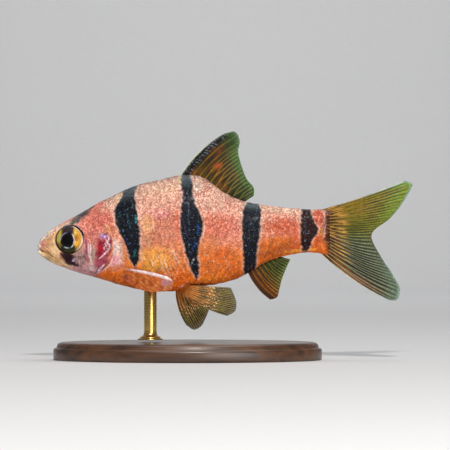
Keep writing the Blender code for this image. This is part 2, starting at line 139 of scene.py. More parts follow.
# Walnut: brown heartwood with darker pores drawn out along the grain, about 1.5 mm apart
def stained_walnut():
    material, tree, shader, place = new_material("stained_walnut_satin_lacquer")
    drawn_out = add_node(tree, "Mapping", {"Scale": (60.0, 700.0, 700.0)}, {"Vector": place})
    grain = add_node(tree, "TexNoise", {"Scale": 1.0, "Detail": 5.0, "Distortion": 0.6},
                     {"Vector": drawn_out})
    shades = add_node(tree, "ValToRGB", {}, {"Fac": grain})
    for k, position, code in ((0, 0.3, "#2B1A10"), (1, 0.72, "#6A4429")):
        shades.color_ramp.elements[k].position = position
        shades.color_ramp.elements[k].color = (*to_linear(code), 1)
    bump = add_node(tree, "Bump", {"Strength": 0.15, "Distance": 0.00005}, {"Height": grain})
    add_node(tree, shader, {"Roughness": 0.38, "Coat Weight": 0.4, "Coat Roughness": 0.2},
             {"Base Color": shades, "Normal": bump})
    return material


# Turned brass: a clean yellow metal with fine rings from the lathe, 0.2 mm apart
def turned_brass():
    material, tree, shader, place = new_material("turned_brass")
    rings = add_node(tree, "TexWave", {"Scale": 1500.0, "bands_direction": "Z", "Distortion": 0.4},
                     {"Vector": place})
    rough = add_node(tree, "MapRange", {"To Min": 0.18, "To Max": 0.32},
                     {"Value": rings.outputs["Fac"]})
    add_node(tree, shader, {"Base Color": "#D8B56A", "Metallic": 1.0}, {"Roughness": rough})
    return material


lathed("oval_base", "stand_base", (
    (0.0, 0.3), (0.06, 0.12), (0.2, 0.02), (0.35, 0.0), (1.3, 0.0), (1.45, 0.04), (1.56, 0.14),
    (1.62, 0.3), (1.66, 0.42), (1.74, 0.46), (1.9, 0.48), (2.06, 0.54), (2.2, 0.66), (2.3, 0.84),
    (2.37, 1.1), (2.4, 1.4)), stained_walnut())
lathed("turned_rod", "stand_rod", (
    (0.0, 0.0), (0.08, 0.0), (0.16, 0.06), (0.2, 0.2), (0.24, 0.32), (0.3, 0.3), (0.38, 0.34),
    (0.46, 0.48), (0.54, 0.66), (0.66, 0.78), (0.9, 0.84), (1.3, 0.85), (7.4, 0.85), (7.6, 0.95)),
    turned_brass())


# Body skin
# Soft moist skin stretched over head, gill covers, jaw, trunk and tail stem in one piece. The
# bony gill cover, cheek ridge and lips stand up in it, and eyes and nostrils are let into it.
SNOUT_X = -25.2
STATIONS = (
    (0.0, 15.0, 15.0, 0.0),
    (0.3, 15.85, 14.15, 0.72),
    (1.15, 16.9, 13.52, 1.35),
    (2.5, 17.82, 12.78, 1.95),
    (3.8, 18.55, 12.3, 2.4),
    (5.8, 19.62, 11.62, 2.85),
    (8.5, 21.2, 10.85, 3.25),
    (11.2, 22.6, 9.9, 3.5),
    (13.9, 23.65, 9.35, 3.65),
    (16.5, 24.25, 9.1, 3.6),
    (19.4, 24.9, 9.2, 3.45),
    (22.2, 24.6, 9.75, 3.2),
    (25.5, 22.3, 10.35, 2.75),
    (27.8, 21.35, 11.2, 2.4),
    (30.9, 20.8, 13.1, 1.95),
    (33.7, 20.45, 13.9, 1.6),
    (36.6, 20.3, 14.3, 1.25),
    (39.2, 20.35, 13.95, 0.95),
)
WIDEST_SHARE = 0.5
BACK_FULLNESS = 1.85
BELLY_FULLNESS = 2.15
STEM_END_X = 13.9
EYE_CENTER = (-20.81, 16.18)
GILL_OUTLINE = (
    (-17.45, 18.0), (-16.2, 18.35), (-15.3, 17.5), (-14.8, 15.5), (-15.2, 13.6),
    (-16.3, 12.25), (-17.6, 11.75), (-18.3, 12.4), (-17.9, 14.2), (-17.75, 16.2),
)
CHEEK_RIDGE = ((-18.75, 17.6), (-18.3, 16.0), (-18.35, 14.0), (-19.0, 12.6))
SECOND_RIDGE = ((-17.88, 15.3), (-17.9, 14.2), (-17.85, 13.3), (-17.6, 12.6))


NOSTRILS = ((-23.0, 16.75), (-22.55, 16.95))
MOUTH_CORNER_X = -23.35
MOUTH_LINE = ((-25.4, 14.96), (-24.95, 14.86), (-24.4, 14.52), (-23.35, 14.1), (-22.6, 13.8))
MOUTH_HALF_WIDTH = 1.35
MOUTH_OPEN_X = -24.0
SLOT_STEPS = 41
LIP_FORM = ((0.06, 0.36, 0.2), (-0.03, 0.74, 0.12), (0.09, -0.36, 0.2), (-0.04, -0.72, 0.12),
            (-0.26, 0.0, 0.19))
MOUTH_CREASES = (
    (0.05, ((-24.5, 15.2), (-23.76, 14.64), (-23.3, 14.2))),
    (0.06, ((-24.1, 15.3), (-23.56, 14.85), (-23.1, 14.3), (-22.9, 13.8))),
    (0.08, ((-23.28, 14.13), (-22.96, 13.77), (-22.5, 13.3))),
)


HEAD_RINGS = 330
TRUNK_RINGS = 130
SKIN_AROUND = 460
SKIN_INSET = 0.13


def smooth(knots, values, at):
    """Read a smooth curve that passes through the values at the knots."""
    knots = np.asarray(knots, dtype=float)
    values = np.asarray(values, dtype=float)
    at = np.asarray(at, dtype=float)
    slopes = np.gradient(values, knots)
    first = np.clip(np.searchsorted(knots, at, side="right") - 1, 0, len(knots) - 2)
    step = knots[first + 1] - knots[first]
    t = (at - knots[first]) / step
    start = (1 + 2 * t) * (1 - t) ** 2 * values[first] + t * (1 - t) ** 2 * step * slopes[first]
    end = t * t * (3 - 2 * t) * values[first + 1] - t * t * (1 - t) * step * slopes[first + 1]
    return start + end


def along(points, t):
    """Read a smooth curve through points, with t from 0 to 1 by distance."""
    points = np.array(points, dtype=float)
    knots = np.concatenate(([0.0], np.cumsum(np.linalg.norm(np.diff(points, axis=0), axis=1))))
    return np.stack([smooth(knots, column, np.asarray(t) * knots[-1]) for column in points.T], -1)


STATION_COLUMNS = np.array(STATIONS).T
STATION_REACH = np.sqrt(STATION_COLUMNS[0])


def body_outline(x):
    """Heights of back and belly and half the width at X, thinned to a wedge at the tail fin."""
    reach = np.sqrt(np.maximum(x - SNOUT_X, 0.0))
    back, belly, half = [smooth(STATION_REACH, column, reach) for column in STATION_COLUMNS[1:]]
    thin = np.sqrt(np.clip(1 - (np.clip(x - 12.7, 0, None) / 1.5) ** 2, 0.03, 1))
    return back, belly, half * thin


def body_point(x, angle):
    """Points on the body, with the angle from 0 at the back over the right flank to the belly."""
    back, belly, half = body_outline(x)
    middle = belly + WIDEST_SHARE * (back - belly)
    upper = np.cos(angle) >= 0
    power = np.where(upper, 2 / BACK_FULLNESS, 2 / BELLY_FULLNESS)
    rise = np.where(upper, back - middle, belly - middle)
    y = half * np.sign(np.sin(angle)) * np.abs(np.sin(angle)) ** power
    return np.stack([x + 0 * angle, y, middle + rise * np.abs(np.cos(angle)) ** power], -1)


def lifted(x, angle, lift):
    """Body points moved out along the surface normal."""
    step = 0.02
    ahead = body_point(x + step, angle) - body_point(x - step, angle)
    around = body_point(x, angle + step) - body_point(x, angle - step)
    normal = np.cross(ahead, around)
    normal /= np.linalg.norm(normal, axis=-1)[..., None]
    return body_point(x, angle) + np.asarray(lift)[..., None] * normal


def ramp(value, low, high):
    """0 below low, 1 above high and a soft step between; low may be the larger."""
    t = np.clip((value - low) / (high - low), 0.0, 1.0)
    return t * t * (3 - 2 * t)


def line_distance(x, z, points, steps=48):
    """Distance on the side view from a smooth line, and how far along the line from 0 to 1."""
    spots = along(points, np.linspace(0, 1, steps + 1))
    best = np.full(np.shape(x), 99.0)
    share = np.zeros(np.shape(x))
    for k in range(steps):
        start = spots[k]
        run = spots[k + 1] - start
        t = np.clip(((x - start[0]) * run[0] + (z - start[1]) * run[1]) / (run @ run), 0, 1)
        gap = np.hypot(x - start[0] - t * run[0], z - start[1] - t * run[1])
        closer = gap < best
        best = np.where(closer, gap, best)
        share = np.where(closer, (k + t) / steps, share)
    return best, share


def inside(x, z, points):
    """True where a spot of the side view lies inside a closed smooth outline."""
    spots = along(list(points) + [points[0]], np.linspace(0, 1, 61))
    found = np.zeros(np.shape(x), dtype=bool)
    for a, b in zip(spots[:-1], spots[1:]):
        if a[1] == b[1]:
            continue
        crosses = (a[1] > z) != (b[1] > z)
        found ^= crosses & (x < a[0] + (z - a[1]) / (b[1] - a[1]) * (b[0] - a[0]))
    return found


def coat_front(low):
    """X of the front edge of the scaled skin, for a share of the height down from the back."""
    nape = 1.7 * np.clip(1 - low / 0.35, 0, 1) ** 1.5
    throat = 1.5 * np.clip((low - 0.72) / 0.28, 0, 1) ** 2
    return -14.75 - nape - throat


def hump(value, height, middle=0.0, width=0.1):
    """A smooth rise of the given height round one value."""
    return height * np.exp(-((value - middle) / width) ** 2)


def mouth_height(x):
    """Height of the line between the lips at X."""
    line_x, line_z = np.array(MOUTH_LINE).T
    return smooth(line_x, line_z, np.clip(x, line_x[0], line_x[-1]))


def skin_lift(x, z, plain_half):
    """How far the skin stands above the plain body form, in millimetres."""
    back, belly, _ = body_outline(x)
    front = coat_front(np.clip((back - z) / (back - belly), 0, 1))
    sunk = SKIN_INSET * ramp(x, front - 0.25, front + 1.3)
    side = ramp(plain_half, 0.15, 0.5)
    margin, _ = line_distance(x, z, list(GILL_OUTLINE) + [GILL_OUTLINE[0]], 80)
    cover = 0.16 * ramp(margin, 0.0, 0.14) + sunk
    groove = 0.1 * ramp(margin, 0.2, 0.0) * ramp(x, -17.0, -16.0)
    lift = side * np.where(inside(x, z, GILL_OUTLINE), cover, -groove) - sunk
    ridge, _ = line_distance(x, z, CHEEK_RIDGE)
    second, _ = line_distance(x, z, SECOND_RIDGE)
    lift = lift + hump(ridge, 0.1, 0.0, 0.15) - hump(ridge, 0.07, 0.34, 0.12)
    lift = lift + hump(second, 0.07, 0.0, 0.09)
    for k in range(4):
        slant = ((-17.35 + 0.45 * k, 11.5 - 0.05 * k), (-16.65 + 0.42 * k, 12.1 - 0.02 * k),
                 (-16.0 + 0.35 * k, 12.85 + 0.12 * k))
        fold, _ = line_distance(x, z, slant, 8)
        lift = lift + side * hump(fold, 0.06, 0.0, 0.11)
    ring = np.hypot(x - EYE_CENTER[0], z - EYE_CENTER[1])
    lift = lift + hump(ring, 0.08, 2.14, 0.15) - 0.5 * ramp(ring, 2.04, 1.7)
    above = z - mouth_height(x)
    near = ramp(x, MOUTH_CORNER_X + 0.3, MOUTH_CORNER_X - 0.7)
    for height, middle, width in LIP_FORM:
        lift = lift + near * hump(above, height, middle, width)
    for depth, crease in MOUTH_CREASES:
        fold, _ = line_distance(x, z, crease, 12)
        lift = lift - hump(fold, depth, 0.0, 0.08)
    for spot_x, spot_z in NOSTRILS:
        hole = np.hypot(x - spot_x, z - spot_z)
        lift = lift - hump(hole, 0.26, 0.0, 0.13) + hump(hole, 0.05, 0.26, 0.08)
    return lift


def skin_shape():
    """The closed skin as rings of points from snout to tail."""
    head_end = math.sqrt(-13.6 - SNOUT_X)
    head = SNOUT_X + np.linspace(0.05, head_end, HEAD_RINGS, endpoint=False) ** 2
    x = np.concatenate([head, np.linspace(-13.6, STEM_END_X + 0.25, TRUNK_RINGS)])
    turn = np.linspace(0, 2 * math.pi, SKIN_AROUND, endpoint=False)
    x, turn = np.meshgrid(x, turn, indexing="ij")
    angle = turn + 0.2 * np.sin(2 * turn)
    plain = body_point(x, angle)
    formed = slice(0, HEAD_RINGS + 8)
    lift = np.full(x.shape, -SKIN_INSET)
    lift[formed] = skin_lift(x[formed], plain[formed, :, 2], np.abs(plain[formed, :, 1]))
    points = lifted(x, angle, lift)
    faces = grid_faces(len(points), SKIN_AROUND, wrap=True)
    flat = np.vstack([points.reshape(-1, 3), points[0].mean(axis=0), points[-1].mean(axis=0)])
    last = len(flat) - 1
    base = (len(points) - 1) * SKIN_AROUND
    for j in range(SKIN_AROUND):
        k = (j + 1) % SKIN_AROUND
        faces += [(j, last - 1, k), (base + j, base + k, last)]
    shape = mesh_piece("fish_skin", flat, faces)
    outward(shape)
    return shape


def mouth_slot():
    """The gap between the lips, a thin wedge bent round the front of the mouth."""
    reaches = (0.35, 0.6, 0.8, 1.0, 1.7)
    loop = [(reach, -1) for reach in reaches] + [(reach, 1) for reach in reaches[::-1]]
    points = []
    for turn in np.radians(np.linspace(-90, 90, SLOT_STEPS)):
        gape = 0.01 + 0.08 * math.cos(turn) ** 2
        for reach, side in loop:
            x = MOUTH_OPEN_X + 0.05 - reach * (MOUTH_OPEN_X - SNOUT_X) * math.cos(turn)
            height = float(mouth_height(x)) + side * gape * min(1.0, 0.2 + 0.8 * reach)
            points.append((x, reach * MOUTH_HALF_WIDTH * math.sin(turn), height))
    faces = grid_faces(SLOT_STEPS, len(loop), wrap=True)
    faces += [tuple(range(10)), tuple(10 * (SLOT_STEPS - 1) + k for k in range(9, -1, -1))]
    slot = mesh_piece("mouth_slot", points, faces)
    outward(slot)
    return slot


# Pigment cells in the skin and silvery crystals under the scales colour the fish: five black
# bands, a cream pink back, salmon flanks and an orange belly. Skin and scales share this paint.
# A few short white strokes and a white spot behind the eye are painted highlights, and the wall
# of the eye socket is darkened with painted shade.
# Each band is a row of its height, front edge and rear edge; each patch is an oval with its
# centre, radii, lean, colour and strength; each stroke is a width, colour, strength and line.
BANDS = (
    ((23.6, -13.3, -11.7), (21.7, -13.9, -12.05), (20.1, -14.7, -11.75), (18.5, -14.6, -11.5),
     (16.5, -13.75, -11.35), (14.6, -12.95, -11.35), (13.4, -12.6, -11.45), (12.5, -12.1, -11.9)),
    ((25.3, -5.8, -4.9), (23.6, -5.9, -4.3), (22.3, -5.65, -4.25), (21.0, -5.8, -4.0),
     (19.7, -5.95, -3.35), (18.3, -5.95, -2.95), (17.1, -5.85, -3.0), (15.9, -5.6, -3.35),
     (14.6, -5.3, -3.6), (13.4, -4.9, -3.6), (12.0, -4.5, -3.4), (10.85, -3.85, -3.65)),
    ((21.5, 3.2, 4.1), (20.3, 2.5, 4.7), (18.6, 2.3, 4.75), (17.0, 2.3, 4.7), (15.4, 2.35, 4.4),
     (13.8, 2.45, 4.2), (12.2, 2.5, 4.0), (11.1, 2.7, 3.2)),
    ((20.3, 10.35, 11.4), (18.7, 10.1, 11.8), (17.4, 10.05, 12.5), (16.2, 10.1, 11.8),
     (14.6, 10.35, 11.1)),
)
BAND_EDGE = 0.12
HEAD_PATCHES = (
    (-23.76, 15.54, 1.2, 1.06, 0, "#D8A274", 0.85),
    (-23.45, 15.65, 0.5, 0.45, 0, "#BE7E50", 0.6),
    (-22.69, 15.01, 0.67, 1.2, 12, "#EFCB9C", 0.8),
    (-24.3, 15.65, 0.38, 0.6, 10, "#DC8C8C", 0.85),
    (-22.16, 18.14, 1.6, 0.4, 32, "#E3A58E", 0.8),
    (-20.96, 18.8, 0.93, 0.24, 30, "#E27A6A", 0.8),
    (-23.49, 16.74, 0.8, 0.4, 38, "#E9C2A4", 0.6),
    (-23.22, 13.68, 1.33, 0.4, -32, "#E4C08C", 0.7),
    (-17.63, 18.47, 1.73, 1.6, 25, "#E98C7C", 0.8),
    (-16.44, 18.87, 0.93, 0.93, 20, "#D9746C", 0.6),
    (-19.1, 19.55, 1.05, 0.6, 36, "#46545C", 0.96),
    (-17.95, 20.45, 0.55, 0.26, 36, "#5A6066", 0.8),
    (-20.03, 18.62, 0.85, 0.36, 25, "#4E5054", 0.92),
    (-18.17, 17.54, 0.67, 0.67, 0, "#F0A890", 0.6),
    (-18.63, 16.87, 0.4, 0.53, 0, "#EFA08C", 0.7),
    (-16.04, 20.33, 0.8, 0.53, 30, "#E8B8A0", 0.6),
    (-17.77, 16.61, 0.8, 1.2, 0, "#E38478", 0.6),
    (-18.43, 14.74, 0.4, 1.6, 0, "#B25C72", 0.85),
    (-19.3, 13.68, 0.73, 1.06, 8, "#97787C", 0.85),
    (-19.76, 12.88, 0.53, 0.4, 0, "#8C6A70", 0.6),
    (-17.37, 14.34, 0.35, 1.2, 3, "#AA8C7E", 0.8),
    (-17.03, 15.67, 0.32, 0.8, 0, "#D86E74", 0.7),
    (-18.7, 12.35, 1.33, 0.45, -20, "#D8A4A4", 0.85),
    (-17.5, 11.95, 0.53, 0.47, -15, "#C99CA4", 0.7),
    (-16.04, 11.28, 1.06, 0.4, -12, "#D9683E", 0.8),
    (-16.44, 13.15, 1.1, 0.85, 0, "#9A3050", 0.9),
    (-15.9, 15.14, 0.93, 1.4, 4, "#A42C46", 0.97),
    (-16.66, 14.95, 0.46, 1.36, 3, "#A01028", 0.97),
    (-16.76, 14.01, 0.52, 0.6, 0, "#86102C", 0.9),
    (-15.16, 15.01, 0.24, 1.33, 2, "#8C1428", 0.9),
    (-16.17, 16.57, 0.67, 0.35, -8, "#A878A8", 0.75),
    (-15.24, 17.27, 0.67, 0.45, -38, "#E99A66", 0.7),
    (-17.9, 12.21, 0.22, 0.24, 0, "#EFE8E0", 0.5),
    (-16.44, 16.7, 0.2, 0.11, 0, "#C9A0E0", 0.9),
    (-16.0, 16.51, 0.2, 0.14, 20, "#DDBEF6", 0.95),
    (-16.2, 16.39, 0.1, 0.08, 0, "#3A1A50", 0.9),
    (-15.87, 16.85, 0.16, 0.1, 0, "#4A2060", 0.9),
    (-15.61, 17.03, 0.14, 0.11, 0, "#B02870", 0.85),
    (-25.0, 15.25, 0.34, 0.26, 0, "#F6F0E8", 0.9),
    (-24.95, 14.42, 0.3, 0.24, 0, "#F4EEDC", 0.9),
    (-21.05, 13.9, 0.92, 0.56, -12, "#240A16", 0.98),
    (-20.66, 13.36, 0.84, 0.7, -20, "#200814", 0.98),
    (-19.85, 12.74, 0.55, 0.2, -16, "#2A1018", 0.98),
    (-20.22, 12.99, 0.24, 0.16, 0, "#1A0A10", 0.9),
    (-21.79, 14.24, 0.25, 0.2, -20, "#5A1420", 0.8),
    (-23.2, 13.75, 1.1, 0.6, -22, "#C49456", 0.6),
    (-18.1, 17.2, 0.7, 0.8, 0, "#EC9488", 0.6),
    (-20.1, 13.42, 0.34, 0.2, 40, "#C8A8BC", 0.7),
    (-23.87, 16.58, 0.24, 0.18, 35, "#8A6A90", 0.7),
    (-23.72, 16.14, 0.12, 0.12, 0, "#7A4A38", 0.75),
    (-22.72, 17.3, 0.22, 0.12, 35, "#B85A48", 0.7),
    # Painted highlight: a small white spot at the rear edge of the eye
    (-19.02, 15.94, 0.16, 0.2, 0, "#FFF2EA", 0.7),
)
HEAD_STROKES = (
    (0.11, "#F9D6E0", 1.0, ((-18.22, 15.61), (-18.2, 15.01), (-18.17, 14.41), (-18.08, 13.7))),
    (0.14, "#FBE6EA", 1.0, ((-17.86, 15.45), (-17.88, 14.61), (-17.94, 14.08), (-17.85, 13.3))),
    (0.13, "#F6ECE8", 1.0, ((-17.92, 13.35), (-17.77, 12.81), (-17.6, 12.35))),
    (0.08, "#6E2038", 0.8, ((-17.66, 15.3), (-17.7, 14.5), (-17.72, 13.9), (-17.62, 13.2))),
    (0.1, "#7A2C48", 0.65, ((-18.41, 15.67), (-18.38, 14.74), (-18.35, 14.21))),
    (0.07, "#8A4A5A", 0.6, ((-18.02, 15.14), (-18.04, 14.81), (-18.04, 14.48))),
    (0.13, "#A8A090", 0.6, ((-17.57, 14.74), (-17.6, 13.94), (-17.56, 13.28))),
    (0.14, "#8E1028", 0.9, ((-15.31, 16.74), (-15.03, 16.07), (-14.97, 15.14), (-15.27, 13.61))),
    (0.11, "#F8E0E4", 1.0, ((-15.64, 16.74), (-15.41, 16.27), (-15.64, 15.74), (-15.33, 15.27),
                             (-15.43, 14.81), (-15.84, 14.41), (-16.31, 13.94), (-16.8, 13.54))),
    (0.08, "#F4D0D8", 0.95, ((-15.95, 16.25), (-15.72, 15.9), (-15.9, 15.5), (-15.66, 15.2))),
    (0.08, "#F4D0D8", 0.9, ((-16.05, 15.6), (-15.85, 15.3), (-16.1, 15.0), (-15.9, 14.75))),
    (0.13, "#FBE4E8", 1.0, ((-16.0, 12.84), (-16.37, 12.48), (-16.7, 12.08), (-17.06, 11.68))),
    (0.11, "#F6B8C2", 1.0, ((-15.07, 13.48), (-15.31, 13.08), (-15.64, 12.64), (-16.37, 11.92))),
    (0.08, "#EFA0A8", 0.7, ((-15.17, 12.61), (-15.51, 12.21), (-15.8, 11.92))),
    (0.1, "#5A1828", 0.75, ((-15.64, 12.95), (-16.04, 12.48), (-16.5, 11.95))),
    (0.1, "#4A1A24", 0.7, ((-16.77, 12.68), (-17.04, 12.08), (-17.5, 11.48))),
    (0.12, "#F6CCC8", 1.0, ((-14.86, 16.3), (-14.73, 15.27), (-14.76, 14.48), (-14.92, 13.6))),
    (0.09, "#B0605E", 0.7, ((-14.58, 16.1), (-14.52, 15.3), (-14.55, 14.5), (-14.66, 13.8))),
    (0.14, "#FFF8F2", 1.0, ((-14.4, 16.6), (-14.32, 15.6), (-14.18, 14.9))),
    (0.13, "#FDF4EE", 1.0, ((-14.14, 15.3), (-14.02, 14.4), (-13.8, 13.8))),
    (0.08, "#A86A58", 0.6, ((-14.12, 16.6), (-13.98, 15.8), (-13.84, 15.1), (-13.66, 14.5))),
    (0.1, "#F6C8C8", 0.7, ((-14.7, 13.6), (-14.3, 13.2), (-13.9, 13.1))),
    (0.1, "#9A9C88", 0.65, ((-14.45, 15.41), (-14.49, 14.88), (-14.49, 14.34))),
    (0.09, "#F2E0A0", 0.95, ((-15.97, 18.2), (-15.57, 17.76), (-15.31, 17.46))),
    (0.08, "#3A5040", 0.6, ((-15.91, 17.94), (-15.64, 17.62), (-15.44, 17.34))),
    (0.16, "#E2742A", 0.85, ((-15.45, 18.05), (-15.0, 17.54), (-14.71, 17.07))),
    (0.13, "#F3DDA8", 0.8, ((-21.96, 13.34), (-21.5, 12.91), (-20.96, 12.61), (-20.3, 12.57))),
    (0.07, "#7A3424", 0.7, ((-24.53, 15.17), (-24.16, 14.9), (-23.76, 14.64), (-23.43, 14.37))),
    (0.06, "#A8523A", 0.5, ((-24.03, 15.27), (-23.56, 14.85), (-23.29, 14.54))),
    (0.09, "#4A2414", 0.9, ((-23.28, 14.13), (-23.15, 13.94), (-22.96, 13.77))),
    (0.08, "#F8E0B0", 0.6, ((-22.96, 14.14), (-22.8, 14.0), (-22.69, 13.81))),
    (0.15, "#F6F0E6", 0.9, ((-24.94, 15.27), (-24.87, 15.69), (-24.45, 16.18), (-23.89, 16.8))),
    (0.13, "#F4EADC", 0.75, ((-23.89, 16.8), (-23.18, 17.3), (-22.35, 17.86))),
    (0.14, "#F0EAD0", 0.85, ((-24.98, 14.55), (-24.8, 14.3), (-24.24, 13.94))),
    (0.12, "#EBDDB4", 0.6, ((-24.24, 13.94), (-23.46, 13.5), (-22.63, 12.96))),
    (0.1, "#140A08", 0.95, ((-24.8, 14.8), (-24.56, 14.64), (-24.26, 14.46))),
    (0.14, "#8A7AA0", 0.6, ((-19.83, 18.12), (-19.57, 17.94), (-19.33, 17.7))),
    (0.2, "#8E867A", 0.8, ((-21.7, 17.54), (-21.1, 17.96), (-20.43, 18.12))),
)
BODY_PATCHES = (
    (-14.31, 14.61, 0.6, 1.73, 8, "#E6CFC8", 0.95),
    (-14.7, 13.15, 0.75, 1.0, 0, "#E4909C", 0.85),
    (-13.71, 13.68, 0.4, 1.2, 14, "#E9A890", 0.6),
    (-14.97, 12.35, 1.06, 0.53, 0, "#E58A58", 0.7),
    (-14.31, 16.61, 0.6, 0.8, 20, "#EDA78A", 0.7),
    (-14.31, 18.2, 0.67, 1.2, 0, "#EDB49A", 0.6),
    (-14.04, 21.0, 0.53, 1.2, -5, "#EBD0A2", 0.7),
    (-8.45, 22.73, 2.53, 1.06, 10, "#EBC3A8", 0.7),
    (-8.72, 21.13, 2.4, 0.8, 4, "#E7AC96", 0.6),
    (-6.12, 24.06, 0.33, 0.6, 0, "#F0E2B4", 0.8),
    (-8.58, 19.8, 2.26, 0.67, 0, "#F0AC9C", 0.6),
    (-8.32, 19.33, 0.8, 0.48, 0, "#E88EA0", 0.75),
    (-10.38, 18.2, 0.8, 1.13, 0, "#F8C08A", 0.85),
    (-7.78, 17.54, 1.66, 1.46, 0, "#D88C74", 0.75),
    (-10.31, 15.94, 0.67, 1.06, 0, "#CC9470", 0.7),
    (-6.45, 18.47, 0.27, 1.73, 0, "#E8785C", 0.6),
    (-9.25, 13.54, 2.0, 1.46, 0, "#F8AA4C", 0.9),
    (-9.91, 12.35, 1.2, 0.67, 0, "#F0A63C", 0.8),
    (-6.45, 14.48, 0.8, 1.46, 0, "#E0865A", 0.7),
    (-6.32, 10.88, 1.33, 1.2, 0, "#E86A12", 0.95),
    (-3.59, 23.26, 0.53, 1.2, 0, "#DAC6B6", 0.85),
    (-1.39, 21.8, 1.73, 1.73, -20, "#EABDA8", 0.8),
    (-1.0, 17.94, 2.4, 1.73, 0, "#E27C64", 0.75),
    (-2.19, 15.67, 1.2, 1.06, 0, "#E08450", 0.6),
    (-0.46, 13.15, 2.66, 1.73, 0, "#E7742A", 0.85),
    (-1.66, 10.88, 2.13, 0.67, 0, "#EC7E20", 0.85),
    (1.0, 20.73, 1.06, 1.06, -20, "#E5A592", 0.7),
    (1.13, 17.94, 0.93, 1.6, 0, "#E28C7A", 0.75),
    (7.39, 20.27, 2.93, 0.67, -8, "#E9C4AE", 0.85),
    (5.26, 18.47, 0.67, 1.33, 0, "#E8A690", 0.7),
    (7.92, 17.94, 2.0, 1.2, -3, "#D9644A", 0.8),
    (8.39, 17.67, 0.4, 0.6, 0, "#B83C34", 0.55),
    (7.4, 17.9, 2.6, 1.3, -3, "#CC6844", 0.6),
    (7.12, 15.61, 2.66, 0.8, 4, "#D26A24", 0.9),
    (9.52, 15.94, 0.67, 1.2, 0, "#DC5C40", 0.6),
    (9.79, 14.66, 2.66, 0.21, 4, "#F0A23A", 0.8),
    (12.45, 19.14, 0.73, 1.2, 0, "#C8502E", 0.9),
    (12.38, 15.94, 0.73, 1.06, 0, "#D05A26", 0.9),
    (12.85, 17.21, 0.31, 0.6, 0, "#C8923E", 0.85),
    (14.15, 17.2, 0.9, 4.2, 0, "#300C06", 0.97),
    (-7.6, 11.3, 1.8, 0.7, 0, "#EE7414", 0.6),
    (7.4, 15.2, 3.0, 0.5, 6, "#B85618", 0.45),
    (7.5, 21.0, 3.4, 0.42, -8, "#8E7062", 0.75),
    (7.0, 14.6, 3.2, 0.5, 12, "#A84A18", 0.7),
    (-1.9, 9.9, 2.4, 0.45, 3, "#C65414", 0.6),
    (1.2, 12.0, 1.0, 1.5, -18, "#C65A18", 0.55),
    (-0.2, 14.3, 1.1, 0.6, 25, "#CE5A26", 0.55),
    (-2.1, 12.3, 0.7, 0.9, 0, "#D8702A", 0.5),
    (-9.2, 16.2, 0.6, 1.0, -12, "#C07A58", 0.5),
    (-7.1, 19.0, 0.7, 0.9, 10, "#C9705C", 0.5),
)
BODY_STROKES = (
    (0.12, "#FAD6DA", 0.95, ((-14.88, 14.0), (-15.05, 13.3), (-15.45, 12.65), (-15.95, 12.1))),
    (0.1, "#F6C0CA", 0.9, ((-14.35, 13.7), (-14.65, 13.2), (-15.1, 12.7))),
    (0.1, "#FBE4E0", 0.85, ((-13.95, 13.4), (-14.35, 13.0), (-14.8, 12.6))),
    (0.1, "#FBE0C4", 0.75, ((-9.91, 13.54), (-9.31, 12.35))),
    (0.09, "#FBE0C4", 0.75, ((-8.98, 14.21), (-8.18, 12.35), (-7.52, 10.75))),
    (0.09, "#F8D8B4", 0.75, ((-8.18, 13.68), (-7.65, 12.35), (-7.18, 11.15))),
    (0.1, "#FCE6CC", 0.8, ((-7.12, 15.14), (-6.59, 13.94), (-6.05, 12.75))),
    (0.08, "#F4C890", 0.6, ((-7.52, 13.15), (-6.99, 11.95), (-6.59, 11.15))),
    (0.09, "#A4501C", 0.55, ((-8.05, 13.94), (-7.52, 12.61), (-7.12, 11.55))),
    (0.08, "#B05A20", 0.45, ((-9.11, 13.15), (-8.58, 11.81))),
    (0.11, "#F3D6C6", 0.8, ((-11.24, 19.8), (-11.11, 17.94), (-11.14, 15.54), (-11.04, 13.15))),
    (0.12, "#EBA8A0", 0.7, ((-6.01, 20.87), (-6.01, 18.47), (-5.81, 16.07), (-4.92, 12.08))),
    (0.12, "#E8683C", 0.65, ((-6.32, 20.2), (-6.29, 18.47), (-6.24, 16.87))),
    (0.12, "#F2D2C0", 0.75, ((-3.15, 20.73), (-2.82, 19.53), (-2.75, 17.94), (-2.93, 16.34))),
    (0.12, "#EFA080", 0.6, ((2.09, 19.53), (2.07, 17.14), (2.17, 15.01), (2.28, 12.61))),
    (0.12, "#F3C8B0", 0.75, ((4.86, 20.6), (4.94, 18.47), (4.84, 16.61))),
    (0.1, "#F0B49A", 0.6, ((9.81, 19.8), (9.79, 17.67), (9.87, 15.81))),
    (0.1, "#E9BEB0", 0.8, ((13.3, 19.8), (13.38, 18.2), (13.27, 16.34))),
    # Painted highlight: a short white dash for light caught on a wet scale edge low on the belly
    (0.14, "#FDF0E4", 0.85, ((-5.92, 9.82), (-5.39, 9.95))),
    (0.09, "#8A4632", 0.6, ((6.46, 20.53), (7.19, 20.0))),
    (0.26, "#1C0E10", 0.95, ((-5.1, 10.15), (-4.2, 10.1), (-2.8, 10.2))),
)
